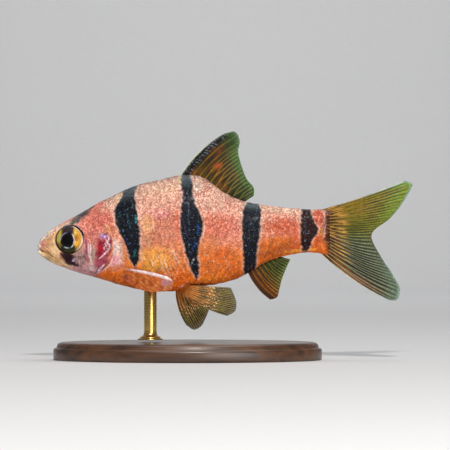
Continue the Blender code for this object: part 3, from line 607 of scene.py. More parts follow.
BAND_STROKES = (
    (0.15, "#2AB4BE", 0.85, ((-11.96, 19.4), (-11.83, 18.87), (-11.88, 18.2))),
    (0.13, "#1FA0A2", 0.8, ((-11.91, 15.01), (-11.96, 14.48), (-12.07, 13.81))),
    (0.11, "#4A8C94", 0.75, ((-13.11, 19.67), (-12.9, 18.87), (-12.71, 18.07), (-12.44, 17.4))),
    (0.12, "#3E3A86", 0.75, ((-13.19, 16.34), (-12.92, 15.67), (-12.63, 15.08))),
    (0.1, "#6A7A84", 0.6, ((-12.71, 21.93), (-12.38, 21.13), (-12.24, 20.2))),
    (0.15, "#2E7A70", 0.6, ((-14.11, 19.67), (-13.93, 19.0))),
    (0.17, "#1668C4", 0.9, ((-3.58, 18.2), (-3.55, 17.54), (-3.74, 16.87))),
    (0.16, "#2250A8", 0.85, ((-3.92, 16.07), (-4.11, 15.41), (-4.32, 14.74))),
    (0.12, "#8E8EA6", 0.65, ((-5.71, 22.86), (-5.6, 21.93), (-5.65, 21.0))),
    (0.1, "#6E7C8C", 0.65, ((-5.05, 21.4), (-4.8, 20.33), (-4.91, 19.27), (-4.78, 18.2))),
    (0.12, "#6A5A80", 0.6, ((-5.65, 19.0), (-5.33, 17.67), (-4.94, 16.34))),
    # Painted highlights: short white dashes for light caught on wet scale edges low in the band
    (0.1, "#DDE6E4", 0.9, ((-4.11, 13.61), (-4.43, 13.01))),
    (0.1, "#F0E8E0", 0.9, ((-4.88, 12.15), (-4.67, 11.68))),
    (0.1, "#F6EDE6", 0.9, ((-3.42, 11.68), (-3.71, 11.15))),
    (0.1, "#5A7080", 0.6, ((3.13, 19.53), (3.45, 18.6), (3.74, 17.8))),
    (0.1, "#62707C", 0.55, ((4.12, 20.33), (4.28, 19.27), (3.98, 18.47))),
    (0.12, "#5A4A60", 0.6, ((10.59, 19.27), (10.77, 17.94), (10.67, 16.34))),
    (0.12, "#7A8488", 0.6, ((10.85, 20.27), (11.04, 19.73))),
)


def tint(color, code, share):
    """Mix a colour into the paint by a share from 0 to 1."""
    return color + (to_linear(code) - color) * np.clip(share, 0, 1)[..., None]


def plain(like, code):
    """One colour at every spot."""
    return np.zeros(np.shape(like) + (3,)) + to_linear(code)


def laid(color, *layers):
    """Mix colours into the paint one after the other, each by its own share."""
    for code, share in layers:
        color = tint(color, code, share)
    return color


def spot(x, z, center, radii, lean=0.0, soft=0.35):
    """1 inside a leaning oval of the side view, falling to 0 past its edge."""
    turn = math.radians(lean)
    along_x = (x - center[0]) * math.cos(turn) + (z - center[1]) * math.sin(turn)
    along_z = (z - center[1]) * math.cos(turn) - (x - center[0]) * math.sin(turn)
    return ramp(np.hypot(along_x / radii[0], along_z / radii[1]), 1 + soft, 1 - soft)


def draw_patches(color, x, z, patches, soft=0.5):
    """Lay soft ovals of colour one over the other, with edges that wander a little."""
    shift_x = x + 0.14 * waver(x, z, 1.1, 41)
    shift_z = z + 0.14 * waver(x, z, 1.1, 43)
    for middle_x, middle_z, wide, tall, lean, code, strength in patches:
        small = min(wide, tall) < 0.3 or strength > 0.97
        at = (x, z) if small else (shift_x, shift_z)
        share = spot(*at, (middle_x, middle_z), (wide, tall), lean, 0.35 if small else soft)
        color = tint(color, code, strength * share)
    return color


def draw_strokes(color, x, z, strokes, over=1.0):
    """Lay narrow strokes of colour with soft sides and tapered ends."""
    for width, code, strength, line in strokes:
        low = np.min(line, axis=0) - 3 * width
        high = np.max(line, axis=0) + 3 * width
        near = (x > low[0]) & (x < high[0]) & (z > low[1]) & (z < high[1])
        if not near.any():
            continue
        line = line if len(line) > 2 else (line[0], np.mean(line, axis=0), line[1])
        gap, share = line_distance(x[near], z[near], line, 14)
        taper = 0.45 + 0.55 * np.sqrt(np.clip(4 * share * (1 - share), 0, 1))
        mark = strength * np.exp(-(gap / (width * taper)) ** 3)
        mark *= 0.72 + 0.28 * waver(x[near], z[near], 0.3, 61)
        color[near] = tint(color[near], code, mark * (over if np.isscalar(over) else over[near]))
    return color


def waver(x, z, size, seed):
    """A smooth uneven field between about -1 and 1, with features of the given size."""
    draw = np.random.default_rng(seed)
    total = np.zeros(np.shape(x))
    for _ in range(9):
        turn = draw.uniform(0, 2 * math.pi)
        pitch = 2 * math.pi / (size * draw.uniform(0.7, 1.6))
        total += np.sin(pitch * (x * math.cos(turn) + z * math.sin(turn)) + draw.uniform(0, 6.28))
    return total / 3.2


def band_share(x, z, band, grow=0.0):
    """1 inside a black band and 0 outside, with an uneven edge."""
    rows = sorted(band)
    levels = [row[0] for row in rows]
    level = np.clip(z, levels[0], levels[-1])
    front = smooth(levels, [row[1] - grow for row in rows], level)
    rear = smooth(levels, [row[2] + grow for row in rows], level)
    edge = x + 0.05 * waver(x, z, 0.5, 11) + 0.05 * waver(x, z, 1.3, 12)
    share = ramp(edge, front - BAND_EDGE, front + BAND_EDGE)
    share *= ramp(edge, rear + BAND_EDGE, rear - BAND_EDGE)
    return share * ramp(z, levels[0] - 0.4, levels[0] + 0.2) * ramp(z, levels[-1] + 0.4, levels[-1])


def body_paint(x, z):
    """Colour of skin and scales at a spot of the side view, with the shares of band and of net."""
    back, belly, _ = body_outline(x)
    high = np.clip((z - belly) / (back - belly), 0, 1)
    color = laid(
        plain(x, "#E9721E"),
        ("#E5803C", ramp(high, 0.08, 0.25)),
        ("#E58E72", ramp(high, 0.28, 0.5)),
        ("#EDB8A6", ramp(high, 0.58, 0.78)),
        ("#DDB8A6", ramp(high, 0.84, 0.94)),
        ("#A8908A", ramp(high, 0.95, 1.0)))
    color = draw_patches(color, x, z, BODY_PATCHES)
    groove = np.sin(2 * math.pi * (x + 0.42 * z) / 0.56 + 2.2 * waver(x, z, 1.6, 33))
    ribbed = spot(x, z, (-8.0, 12.9), (2.9, 2.3), 0, 0.4) * ramp(waver(x, z, 0.9, 35), -0.9, 0.5)
    color = laid(
        color,
        ("#FBDDB8", 0.5 * ribbed * ramp(groove, 0.6, 1.0)),
        ("#8E3E10", 0.5 * ribbed * ramp(groove, -0.75, -1.0)))
    uneven = 0.6 * waver(x, z, 0.75, 81) + 0.5 * waver(x, z, 0.42, 82)
    color = color * (1 + uneven[..., None] * np.array((0.07, 0.15, 0.2)))
    crease = np.abs(np.sin(math.pi * (x - 0.9 * z + 0.5 * waver(x, z, 1.2, 84)) / 1.1))
    crease = ramp(crease, 0.16, 0.04) * ramp(waver(x, z, 0.5, 85), 0.0, 0.7)
    color = tint(color, "#FBE2C8", 0.6 * crease * spot(x, z, (-0.4, 12.8), (2.8, 3.2), 0, 0.3))
    crease = np.abs(np.sin(math.pi * (x + 0.8 * z + 0.5 * waver(x, z, 1.2, 86)) / 1.3))
    crease = ramp(crease, 0.14, 0.03) * ramp(waver(x, z, 0.5, 87), 0.0, 0.7)
    color = tint(color, "#8A3A14", 0.6 * crease * ramp(high, 0.75, 0.3))
    color = draw_strokes(color, x, z, BODY_STROKES)
    beads = ramp(x, 13.5, 13.9) * ramp(np.sin(2 * math.pi * (z + 0.3 * x) / 0.46), 0.3, 0.9)
    color = tint(color, "#E0B070", 0.6 * beads * ramp(waver(x, z, 0.5, 71), -0.4, 0.6))
    bands = np.max([band_share(x, z, band) for band in BANDS], axis=0)
    rims = np.max([band_share(x, z, band, 0.2) for band in BANDS], axis=0)
    color = tint(color, "#F6DACA", 0.42 * rims * ramp(waver(x, z, 0.7, 93), -0.9, 0.3))
    band_ink_and_highlights = laid(
        plain(x, "#0A0B0F"),
        ("#16232C", 0.7 * ramp(waver(x, z, 0.4, 3), 0.2, 1.0)),
        ("#161836", 0.6 * ramp(waver(x, z, 0.6, 5), 0.3, 1.0)),
        ("#5E6A6E", 0.75 * ramp(high, 0.84, 1.0)),
        ("#260A04", 0.95 * ramp(x, 8.0, 10.0)),
        ("#2C1A20", 0.6 * ramp(high, 0.22, 0.05)))
    # The band colour takes these strokes, among them the painted highlights
    band_ink_and_highlights = draw_strokes(band_ink_and_highlights, x, z, BAND_STROKES, 0.15 + 0.85 * ramp(waver(x, z, 0.27, 9), -0.1, 0.5))
    color = color + (band_ink_and_highlights - color) * bands[..., None]
    net = 0.3 + 0.55 * ramp(high, 0.3, 0.7) + 0.4 * spot(x, z, (-3.0, 22.8), (1.3, 1.9), 0, 0.5)
    return color, bands, net * (1 - bands)


def head_paint(x, z):
    """Colour of the head in front of the shoulder, with the share of the pigment net."""
    back, belly, _ = body_outline(x)
    high = np.clip((z - belly) / (back - belly), 0, 1)
    color = laid(
        plain(x, "#DDA48C"),
        ("#E8B88A", ramp(x, -20.5, -23.0)),
        ("#E58E7C", ramp(high, 0.45, 0.7) * ramp(x, -20.5, -18.5)),
        ("#C9909A", ramp(high, 0.25, 0.1) * ramp(x, -21.5, -19.5)),
        ("#E6D6C2", 0.9 * ramp(high, 0.82, 0.95) * ramp(x, -19.9, -21.3)),
        ("#DC6A3C", 0.8 * ramp(high, 0.14, 0.04) * ramp(x, -18.5, -16.5)))
    color = draw_patches(color, x, z, HEAD_PATCHES)
    gill = spot(x, z, (-15.75, 15.1), (0.75, 1.3), 0, 0.3)
    rear = gill * ramp(x, -16.5, -15.8)
    color = laid(
        color,
        ("#F2CCD4", 0.55 * rear * ramp(waver(x + 0.6 * z, z, 0.42, 21), 0.5, 1.1)),
        ("#5E0C22", 0.75 * gill * ramp(waver(x - 0.5 * z, z, 0.42, 23), 0.0, 0.9)))
    cheek = spot(x, z, (-19.1, 13.6), (0.9, 1.2), 8, 0.5)
    color = laid(
        color,
        ("#6E4A44", 0.7 * cheek * ramp(waver(1.6 * x, 0.8 * z, 0.6, 26), -0.5, 0.5)),
        ("#D8B8B4", 0.5 * cheek * ramp(waver(1.6 * x, 0.8 * z, 0.5, 25), 0.2, 0.8)))
    color = draw_strokes(color, x, z, HEAD_STROKES)
    ring = np.hypot(x - EYE_CENTER[0], z - EYE_CENTER[1])
    # Painted shade: the wall of the eye socket, just outside the eyeball, is darkened where shade
    # falls in the gap
    color = tint(color, "#171110", ramp(ring, 1.88, 1.76))
    net = 0.12 + 0.7 * ramp(high, 0.35, 0.6) * ramp(x, -20.0, -18.5)
    net = net * (1 - spot(x, z, (-15.95, 14.9), (1.1, 1.9), 0, 0.3))
    return color, net + 0.6 * spot(x, z, (-14.3, 14.9), (0.7, 2.2), 0, 0.5)


def fish_paint(points):
    """Colour, band, net and glint shares of the whole fish at points in millimetres."""
    x, y, z = np.asarray(points, dtype=float).T
    back, belly, _ = body_outline(x)
    low = np.clip((back - z) / (back - belly), 0, 1)
    joint = -14.75 - 1.7 * np.clip(1 - low / 0.35, 0, 1) ** 1.5 - 2.4 * low ** 4
    share = ramp(x, joint - 0.25, joint + 0.2)
    head, head_net = head_paint(x, z)
    body, bands, net = body_paint(x, z)
    color = head + (body - head) * share[:, None]
    bands = bands * share
    net = head_net + (net - head_net) * share
    glint = 0.2 + share * (0.3 + 0.5 * ramp(low, 0.7, 0.25)) + 0.3 * (1 - share) * ramp(low, 0.5, 0.3)
    glint = np.clip(glint * (1 - spot(x, z, (-20.8, 13.6), (1.1, 0.9), 0, 0.3)), 0, 1)
    glint = glint * (0.8 + 0.35 * waver(x, z, 0.9, 92))
    in_band = 0.15 + 0.6 * ramp(waver(x, z, 0.6, 91), -0.3, 0.9)
    glint = np.clip(glint + (in_band - glint) * bands, 0, 1)
    return color, np.stack([bands, net, glint], -1)


def keep_paint(item, color, marks=None):
    """Store one colour for each point of a mesh, and the shares of band, net and glint."""
    for name, source in (("paint", color), ("marks", marks)):
        if source is None:
            continue
        layer = item.data.color_attributes.new(name, "FLOAT_COLOR", "POINT")
        values = np.ones((len(source), 4))
        values[:, :source.shape[1]] = source
        layer.data.foreach_set("color", values.ravel())


skin = skin_shape()
slot = mouth_slot()
cut = skin.modifiers.new("mouth", "BOOLEAN")
cut.operation = "DIFFERENCE"
cut.solver = "MANIFOLD"
cut.object = slot
opened = bpy.data.meshes.new_from_object(skin.evaluated_get(bpy.context.evaluated_depsgraph_get()))
skin.modifiers.remove(cut)
skin.data = opened
bpy.data.objects.remove(slot)
skin.data.name = "fish_skin"

place = np.empty(len(skin.data.vertices) * 3)
skin.data.vertices.foreach_get("co", place)
keep_paint(skin, *fish_paint(place.reshape(-1, 3) / MM))
skin.data.shade_smooth()


# Living skin: wet and slightly translucent under a thin clear film. Brown pigment cells form a
# worm-like net about 0.4 mm apart; between its threads, flecks of crystal are painted as cream
# and blue glints, which are painted highlights
def fish_finish(name, roughness, film, relief):
    material, tree, shader, place = new_material(name)
    paint = add_node(tree, "Attribute", {"attribute_name": "paint"})
    marks = add_node(tree, "Attribute", {"attribute_name": "marks"})
    parts = add_node(tree, "SeparateColor", {}, {"Color": marks})
    band, net, glint = (parts.outputs[k] for k in ("Red", "Green", "Blue"))
    drift = add_node(tree, "TexNoise", {"Scale": 1900.0, "Detail": 2.0}, {"Vector": place})
    bent = add_node(tree, "VectorMath", {"operation": "MULTIPLY_ADD", 1: (0.0003,) * 3},
                    {0: drift.outputs["Color"], 2: place})
    threads = add_node(tree, "TexNoise", {"Scale": 2500.0, "Detail": 3.0}, {"Vector": bent})
    offset = add_node(tree, "Math", {"operation": "SUBTRACT", 1: 0.5}, {0: threads})
    offset = add_node(tree, "Math", {"operation": "ABSOLUTE"}, {0: offset})
    thread = add_node(tree, "MapRange",
                      {"From Min": 0.015, "From Max": 0.11, "To Min": 1.0, "To Max": 0.0},
                      {"Value": offset})
    grain = add_node(tree, "TexNoise", {"Scale": 4300.0, "Detail": 3.0}, {"Vector": place})
    shade = add_node(tree, "MapRange",
                     {"From Min": 0.34, "From Max": 0.66, "To Min": 0.5, "To Max": 1.5},
                     {"Value": grain})
    spread = add_node(tree, "MapRange",
                      {"From Max": 0.9, "To Min": 0.35, "To Max": 1.0}, {"Value": net})
    uneven = add_node(tree, "Mix", {"data_type": "FLOAT", 2: 1.0}, {0: spread, 3: shade})
    patches = add_node(tree, "TexNoise", {"Scale": 1500.0, "Detail": 2.0}, {"Vector": place})
    tone = add_node(tree, "MapRange",
                    {"From Min": 0.32, "From Max": 0.68, "To Min": 0.74, "To Max": 1.24},
                    {"Value": patches})
    toned = add_node(tree, "Math", {"operation": "MULTIPLY"}, {0: tone, 1: uneven.outputs[0]})
    grained = add_node(tree, "VectorMath", {"operation": "SCALE"}, {0: paint, "Scale": toned})
    amount = add_node(tree, "Math", {"operation": "MULTIPLY"}, {0: thread, 1: net})
    darker = add_node(tree, "VectorMath",
                      {"operation": "MULTIPLY_ADD", 1: (0.5, 0.3, 0.26), 2: (0.03, 0.008, 0.006)},
                      {0: paint})
    netted = add_node(tree, "MixRGB", {}, {"Fac": amount, "Color1": grained, "Color2": darker})
    # Painted highlights: small cream and blue glints of crystal mixed into the colour, fewer in the
    # bands
    flakes = add_node(tree, "TexNoise", {"Scale": 5200.0, "Detail": 1.0}, {"Vector": bent})
    rarer = add_node(tree, "Math", {"operation": "MULTIPLY_ADD", 1: -0.07}, {0: band, 2: flakes})
    chosen = add_node(tree, "MapRange",
                      {"From Min": 0.53, "From Max": 0.68, "To Min": 0.0, "To Max": 0.95},
                      {"Value": rarer})
    flake_glint = add_node(tree, "Math", {"operation": "MULTIPLY"}, {0: chosen, 1: glint})
    brighter = add_node(tree, "VectorMath",
                        {"operation": "MULTIPLY_ADD", 1: (1.25, 1.15, 1.0), 2: (0.12, 0.09, 0.06)},
                        {0: paint})
    glint_color = add_node(tree, "MixRGB", {"Color2": "#8CA0B4"}, {"Fac": band, "Color1": brighter})
    glinted = add_node(tree, "MixRGB", {}, {"Fac": flake_glint, "Color1": netted, "Color2": glint_color})
    # Painted highlights: larger cream glints mixed into the colour, fewer in the bands
    beads = add_node(tree, "TexNoise", {"Scale": 4000.0, "Detail": 0.0}, {"Vector": bent})
    fewer = add_node(tree, "Math", {"operation": "MULTIPLY_ADD", 1: -0.1}, {0: band, 2: beads})
    bead = add_node(tree, "MapRange",
                    {"From Min": 0.69, "From Max": 0.82, "To Min": 0.0, "To Max": 0.8},
                    {"Value": fewer})
    pearl_glint = add_node(tree, "Math", {"operation": "MULTIPLY"}, {0: bead, 1: glint})
    final = add_node(tree, "MixRGB", {"Color2": "#FBE2C6"}, {"Fac": pearl_glint, "Color1": glinted})
    gloss = add_node(tree, "MapRange",
                     {"From Min": 0.3, "From Max": 0.7, "To Min": roughness - 0.1,
                      "To Max": roughness + 0.14},
                     {"Value": grain})
    bump = add_node(tree, "Bump", {"Strength": relief, "Distance": 0.00005}, {"Height": grain})
    add_node(tree, shader, {
        "IOR": 1.4, "Specular IOR Level": 0.14, "Coat Weight": film, "Coat Roughness": 0.15,
        "Subsurface Weight": 0.04, "Subsurface Radius": (0.0006, 0.0003, 0.0002),
        "Subsurface Scale": 1.0}, {"Base Color": final, "Roughness": gloss, "Normal": bump})
    return material


skin.data.materials.clear()
skin.data.materials.append(fish_finish("moist_fish_skin", 0.44, 0.1, 0.4))
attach(skin, "root")
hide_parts("head", "lower_jaw", "torso", "tail_stem", "gill_cover_left", "gill_cover_right")


# Eyes
# A flattened globe in each socket, turned a little forward and up with the head's surface, held
# by a soft dark fold of skin: a black pupil in a bright broken ring and a gold iris crossed by
# the dark bar, under a clear cornea. White arcs under the pupil and a bright crescent and glare
# at the rear edge of the iris are painted highlights.
EYE_RADIUS = 1.86
EYE_SHIFT = (0.12, -0.08)
EYE_SET_OUT = 2.0
EYE_BULGE = 0.8
EYE_BACK_DEPTH = 1.0
EYE_AIM = (-0.2, 1.0, 0.16)
PUPIL_CENTER = (-0.09, -0.15)
PUPIL_RADIUS = 0.75


def iris_paint(dx, dz):
    """The colour of the eye at an offset from its centre on the side view."""
    far = np.hypot(dx, dz)
    turn = np.degrees(np.arctan2(dz, dx))
    pupil = np.hypot(dx - PUPIL_CENTER[0], dz - PUPIL_CENTER[1])
    facing = np.degrees(np.arctan2(dz - PUPIL_CENTER[1], dx - PUPIL_CENTER[0]))
    color = laid(
        plain(dx, "#8A6A2A"),
        ("#E0981C", ramp(dx, 0.3, 0.75) * ramp(dz, -1.25, -0.8)),
        ("#C4B846", ramp(dx, -0.9, -1.2) * ramp(dz, -0.8, -0.1)),
        ("#7A5A28", ramp(dx, -0.9, -1.2) * ramp(dz, -0.2, -1.0)))
    for center, radii, code in (((1.02, 0.15), (0.28, 0.42), "#9C5010"),
                                ((0.98, -0.5), (0.26, 0.3), "#F4C040"),
                                ((0.84, 1.0), (0.3, 0.3), "#F0C868")):
        color = tint(color, code, 0.8 * spot(dx, dz, center, radii, 0, 0.6))
    fleck = waver(dx, dz, 0.2, 51)
    color = laid(
        color,
        ("#6A3A10", 0.5 * ramp(fleck, 0.0, 1.2)),
        ("#FFE08A", 0.35 * ramp(-fleck, 0.1, 1.2)))
    upper = ramp(np.abs(dx + 0.12), 0.95, 0.6) * ramp(dz, 0.4, 0.75)
    color = laid(
        color,
        ("#241C22", 0.96 * upper),
        ("#5A5058", 0.5 * upper * ramp(dz, 0.8, 1.4) * ramp(waver(dx, dz, 0.3, 53), -0.4, 0.8)))
    lower = ramp(np.abs(dx + 0.12), 1.15, 0.85) * ramp(dz, -0.7, -1.0)
    color = laid(
        color,
        ("#0E1C16", 0.96 * lower),
        ("#8A7A3A", 0.3 * lower * ramp(waver(dx, dz, 0.25, 55), 0.3, 1.2)))
    # Painted highlights: a bright crescent along the rear outer edge of the iris and a white glare on
    # it
    rim_highlight = np.exp(-((far - 1.79) / 0.075) ** 2) * ramp(np.abs(turn - 12), 74, 50)
    color = tint(color, "#F6EFE6", 0.95 * rim_highlight)
    glare = np.exp(-((far - 1.84) / 0.13) ** 2) * ramp(np.abs(turn + 6), 22, 8)
    color = tint(color, "#FFFDF6", glare)
    border = 1.02 - 0.2 * ramp(np.cos(np.radians(facing)), 0.4, 1.0)
    color = tint(color, "#0C0D12", 0.97 * ramp(pupil, border + 0.1, border))
    ring = np.exp(-((pupil - border) / 0.055) ** 2)
    color = laid(
        color,
        ("#A8A0CC", 0.85 * ring * ramp(np.abs(facing - 150), 62, 30)),
        ("#F0EAEC", 0.9 * ring * ramp(np.abs(facing - 12), 56, 34)))
    # Painted highlight: white arcs on the lower side of the ring round the pupil
    highlight_arcs = ramp(np.abs(facing + 84), 50, 38) * (0.55 + 0.45 * np.cos(np.radians(7 * facing)))
    color = laid(
        color,
        ("#EAF6F2", 0.95 * ring * highlight_arcs),
        ("#060608", ramp(pupil, PUPIL_RADIUS + 0.03, PUPIL_RADIUS - 0.03)))
    edge = 1.62 + 0.26 * ramp(dx, -1.2, 0.9)
    return tint(color, "#120E0E", ramp(far, edge, edge + 0.08))


# Eye: wet clear cornea over a reflecting iris, so a sharp small highlight sits on deep colour
def wet_eye():
    material, tree, shader, place = new_material("wet_eye")
    paint = add_node(tree, "Attribute", {"attribute_name": "paint"})
    grain = add_node(tree, "TexNoise", {"Scale": 6000.0, "Detail": 2.0}, {"Vector": place})
    shade = add_node(tree, "MapRange",
                     {"From Min": 0.3, "From Max": 0.7, "To Min": 0.85, "To Max": 1.15},
                     {"Value": grain})
    mixed = add_node(tree, "VectorMath", {"operation": "SCALE"}, {0: paint, "Scale": shade})
    add_node(tree, shader, {}, {"Base Color": mixed})
    add_node(tree, shader, {
        "Roughness": 0.5, "IOR": 1.33, "Specular IOR Level": 0.15, "Coat Weight": 0.25,
        "Coat IOR": 1.38, "Coat Roughness": 0.03})
    return material


def angle_at(x, z):
    """The angle on the right flank at a height, for placing what is measured from the side."""
    back, belly, _ = body_outline(x)
    middle = belly + WIDEST_SHARE * (back - belly)
    high = z > middle
    share = np.where(high, (z - middle) / (back - middle), (middle - z) / (middle - belly))
    fullness = np.where(high, BACK_FULLNESS, BELLY_FULLNESS)
    cosine = np.clip(np.abs(share), 0, 1) ** (fullness / 2) * np.where(high, 1, -1)
    return np.arccos(cosine)


def eye_fold(side):
    """A soft dark fold of skin round the eyeball, wide above and below its rear edge."""
    turn = np.linspace(0, 2 * math.pi, 160, endpoint=False)[:, None]
    facing = np.degrees((turn + math.pi) % (2 * math.pi) - math.pi)
    upper = ramp(np.abs(facing - 48), 48, 16)
    lower = ramp(np.abs(facing + 46), 30, 12)
    wide = 0.055 + 0.13 * upper + 0.08 * lower
    reach = EYE_RADIUS + np.array((-0.07, -0.05, 0.1, 0.5, 0.9, 1.1, 1.0, 0.2)) * wide
    reach[:, 1:3] -= (0.04, 0.03)
    lift = np.array((-0.5, -0.1, 0.0, 0.03, 0.01, -0.06, -0.5, -0.55)) + 0 * wide
    x = EYE_CENTER[0] + EYE_SHIFT[0] + reach * np.cos(turn)
    z = EYE_CENTER[1] + EYE_SHIFT[1] + reach * np.sin(turn)
    points = lifted(x, angle_at(x, z), lift) * (1, side, 1)
    fold = mesh_piece("eye_fold", points.reshape(-1, 3), grid_faces(160, 8, wrap=True) + [
        (159 * 8 + j, 159 * 8 + (j + 1) % 8, (j + 1) % 8, j) for j in range(8)])
    outward(fold)
    color = np.zeros((160, 8, 3)) + to_linear("#3A2A1E")
    color = laid(
        color,
        ("#6A5E56", ramp(np.abs(facing - 118), 34, 12)),
        ("#0E0B0C", upper + lower))
    keep_paint(fold, color.reshape(-1, 3), np.zeros((160 * 8, 3)))
    return fold


eye_finish = wet_eye()
for side, name in ((-1, "left"), (1, "right")):
    rows = 90
    around = 180
    bend = np.linspace(0.01, 1, rows) ** 0.8 * (math.pi - 0.03)
    angle = np.linspace(0, 2 * math.pi, around, endpoint=False)
    bend, angle = np.meshgrid(bend, angle, indexing="ij")
    aim = np.array((EYE_AIM[0], side * EYE_AIM[1], EYE_AIM[2]))
    aim /= np.linalg.norm(aim)
    across = np.cross((0, 0, 1), aim)
    across /= np.linalg.norm(across)
    upward = np.cross(aim, across)
    depth = np.where(bend < math.pi / 2, EYE_BULGE, EYE_BACK_DEPTH) * np.cos(bend)
    wide = EYE_RADIUS * np.sin(bend)
    center = np.array((EYE_CENTER[0] + EYE_SHIFT[0], side * EYE_SET_OUT, EYE_CENTER[1] + EYE_SHIFT[1]))
    points = center + depth[..., None] * aim + (wide * np.cos(angle))[..., None] * across
    points = (points + (wide * np.sin(angle))[..., None] * upward).reshape(-1, 3)
    faces = grid_faces(rows, around, wrap=True)
    faces.append(tuple(range(around)))
    faces.append(tuple((rows - 1) * around + j for j in range(around)))
    eye = mesh_piece("eyeball_" + name, points, faces)
    outward(eye)
    keep_paint(eye, iris_paint(points[:, 0] - EYE_CENTER[0], points[:, 2] - EYE_CENTER[1]))
    eye.data.materials.append(eye_finish)
    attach(eye, "root")
    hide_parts("eye_" + name)
    fold = eye_fold(side)
    fold.name = "eye_fold_" + name
    fold.data.materials.append(skin.data.materials[0])
    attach(fold, "root")


# Scale coat
# Thin clear plates of bone set in pockets of the skin, each lying over the roots of the ones
# behind it, in rows that run along the flank from the gill opening to the tail fin.
SCALE_PITCH = 1.16
SCALE_LENGTH = 2.3
ROW_PITCHES = ((-17.0, 1.25), (-10.0, 1.5), (0.0, 1.42), (6.0, 1.2), (13.9, 0.98))
SCALE_HALF_HEIGHT = 0.72
SCALE_THICKNESS = 0.02
SCALE_ROWS = 19
SCALE_COLUMNS = 14
PATCH = 0.003


def girth_table():
    """Angles at even steps of the half girth for even steps of X, and the half girths."""
    x = np.linspace(-19.0, 14.2, 240)
    angle = np.linspace(0, math.pi, 500)
    grid_x, grid_angle = np.meshgrid(x, angle, indexing="ij")
    step = np.linalg.norm(np.diff(body_point(grid_x, grid_angle), axis=1), axis=-1)
    run = np.concatenate([np.zeros((len(x), 1)), np.cumsum(step, axis=1)], axis=1)
    shares = np.linspace(0, 1, 400)
    table = np.array([np.interp(shares * row[-1], row, angle) for row in run])
    return x, table, run[:, -1]


table_x, table_angle, table_girth = girth_table()


def girth_angle(x, share):
    """The angle at a share of the half girth down from the back."""
    i = np.clip((x - table_x[0]) / (table_x[1] - table_x[0]), 0, len(table_x) - 1.001)
    j = np.clip(share, 0, 1) * (table_angle.shape[1] - 1.001)
    i0 = i.astype(int)
    j0 = j.astype(int)
    di = i - i0
    dj = j - j0
    low = table_angle[i0, j0] * (1 - dj) + table_angle[i0, j0 + 1] * dj
    high = table_angle[i0 + 1, j0] * (1 - dj) + table_angle[i0 + 1, j0 + 1] * dj
    return low * (1 - di) + high * di


def scale_faces():
    """Faces of one plate: its top grid, its rim and a fan beneath."""
    faces = grid_faces(SCALE_ROWS, SCALE_COLUMNS)
    count = SCALE_ROWS * SCALE_COLUMNS
    rim = [i * SCALE_COLUMNS for i in range(SCALE_ROWS)]
    rim += [(SCALE_ROWS - 1) * SCALE_COLUMNS + j for j in range(1, SCALE_COLUMNS)]
    rim += [i * SCALE_COLUMNS + SCALE_COLUMNS - 1 for i in range(SCALE_ROWS - 2, -1, -1)]
    rim += list(range(SCALE_COLUMNS - 2, 0, -1))
    for k in range(len(rim)):
        after = (k + 1) % len(rim)
        faces.append((rim[after], rim[k], count + k, count + after))
        faces.append((count + after, count + k, count + len(rim)))
    return faces, rim


def scale_roots():
    """Root X, row place and row height of each scale on one flank, from the back down."""
    roots = []
    for row in range(-8, 9):
        for column in range(-3, 26):
            x = -14.6 + SCALE_PITCH * (column + 0.5 * (row % 2))
            pitch = float(np.interp(x, *np.array(ROW_PITCHES).T))
            girth = float(np.interp(x, table_x, table_girth))
            place = 0.47 * girth + row * pitch
            share = place / girth
            if not 0.25 < place < girth - 0.25 or x > 12.3:
                continue
            low = float((1 - np.cos(math.pi * share)) / 2)
            if x < float(coat_front(low)) - 0.75:
                continue
            roots.append((x, place, pitch))
    return roots


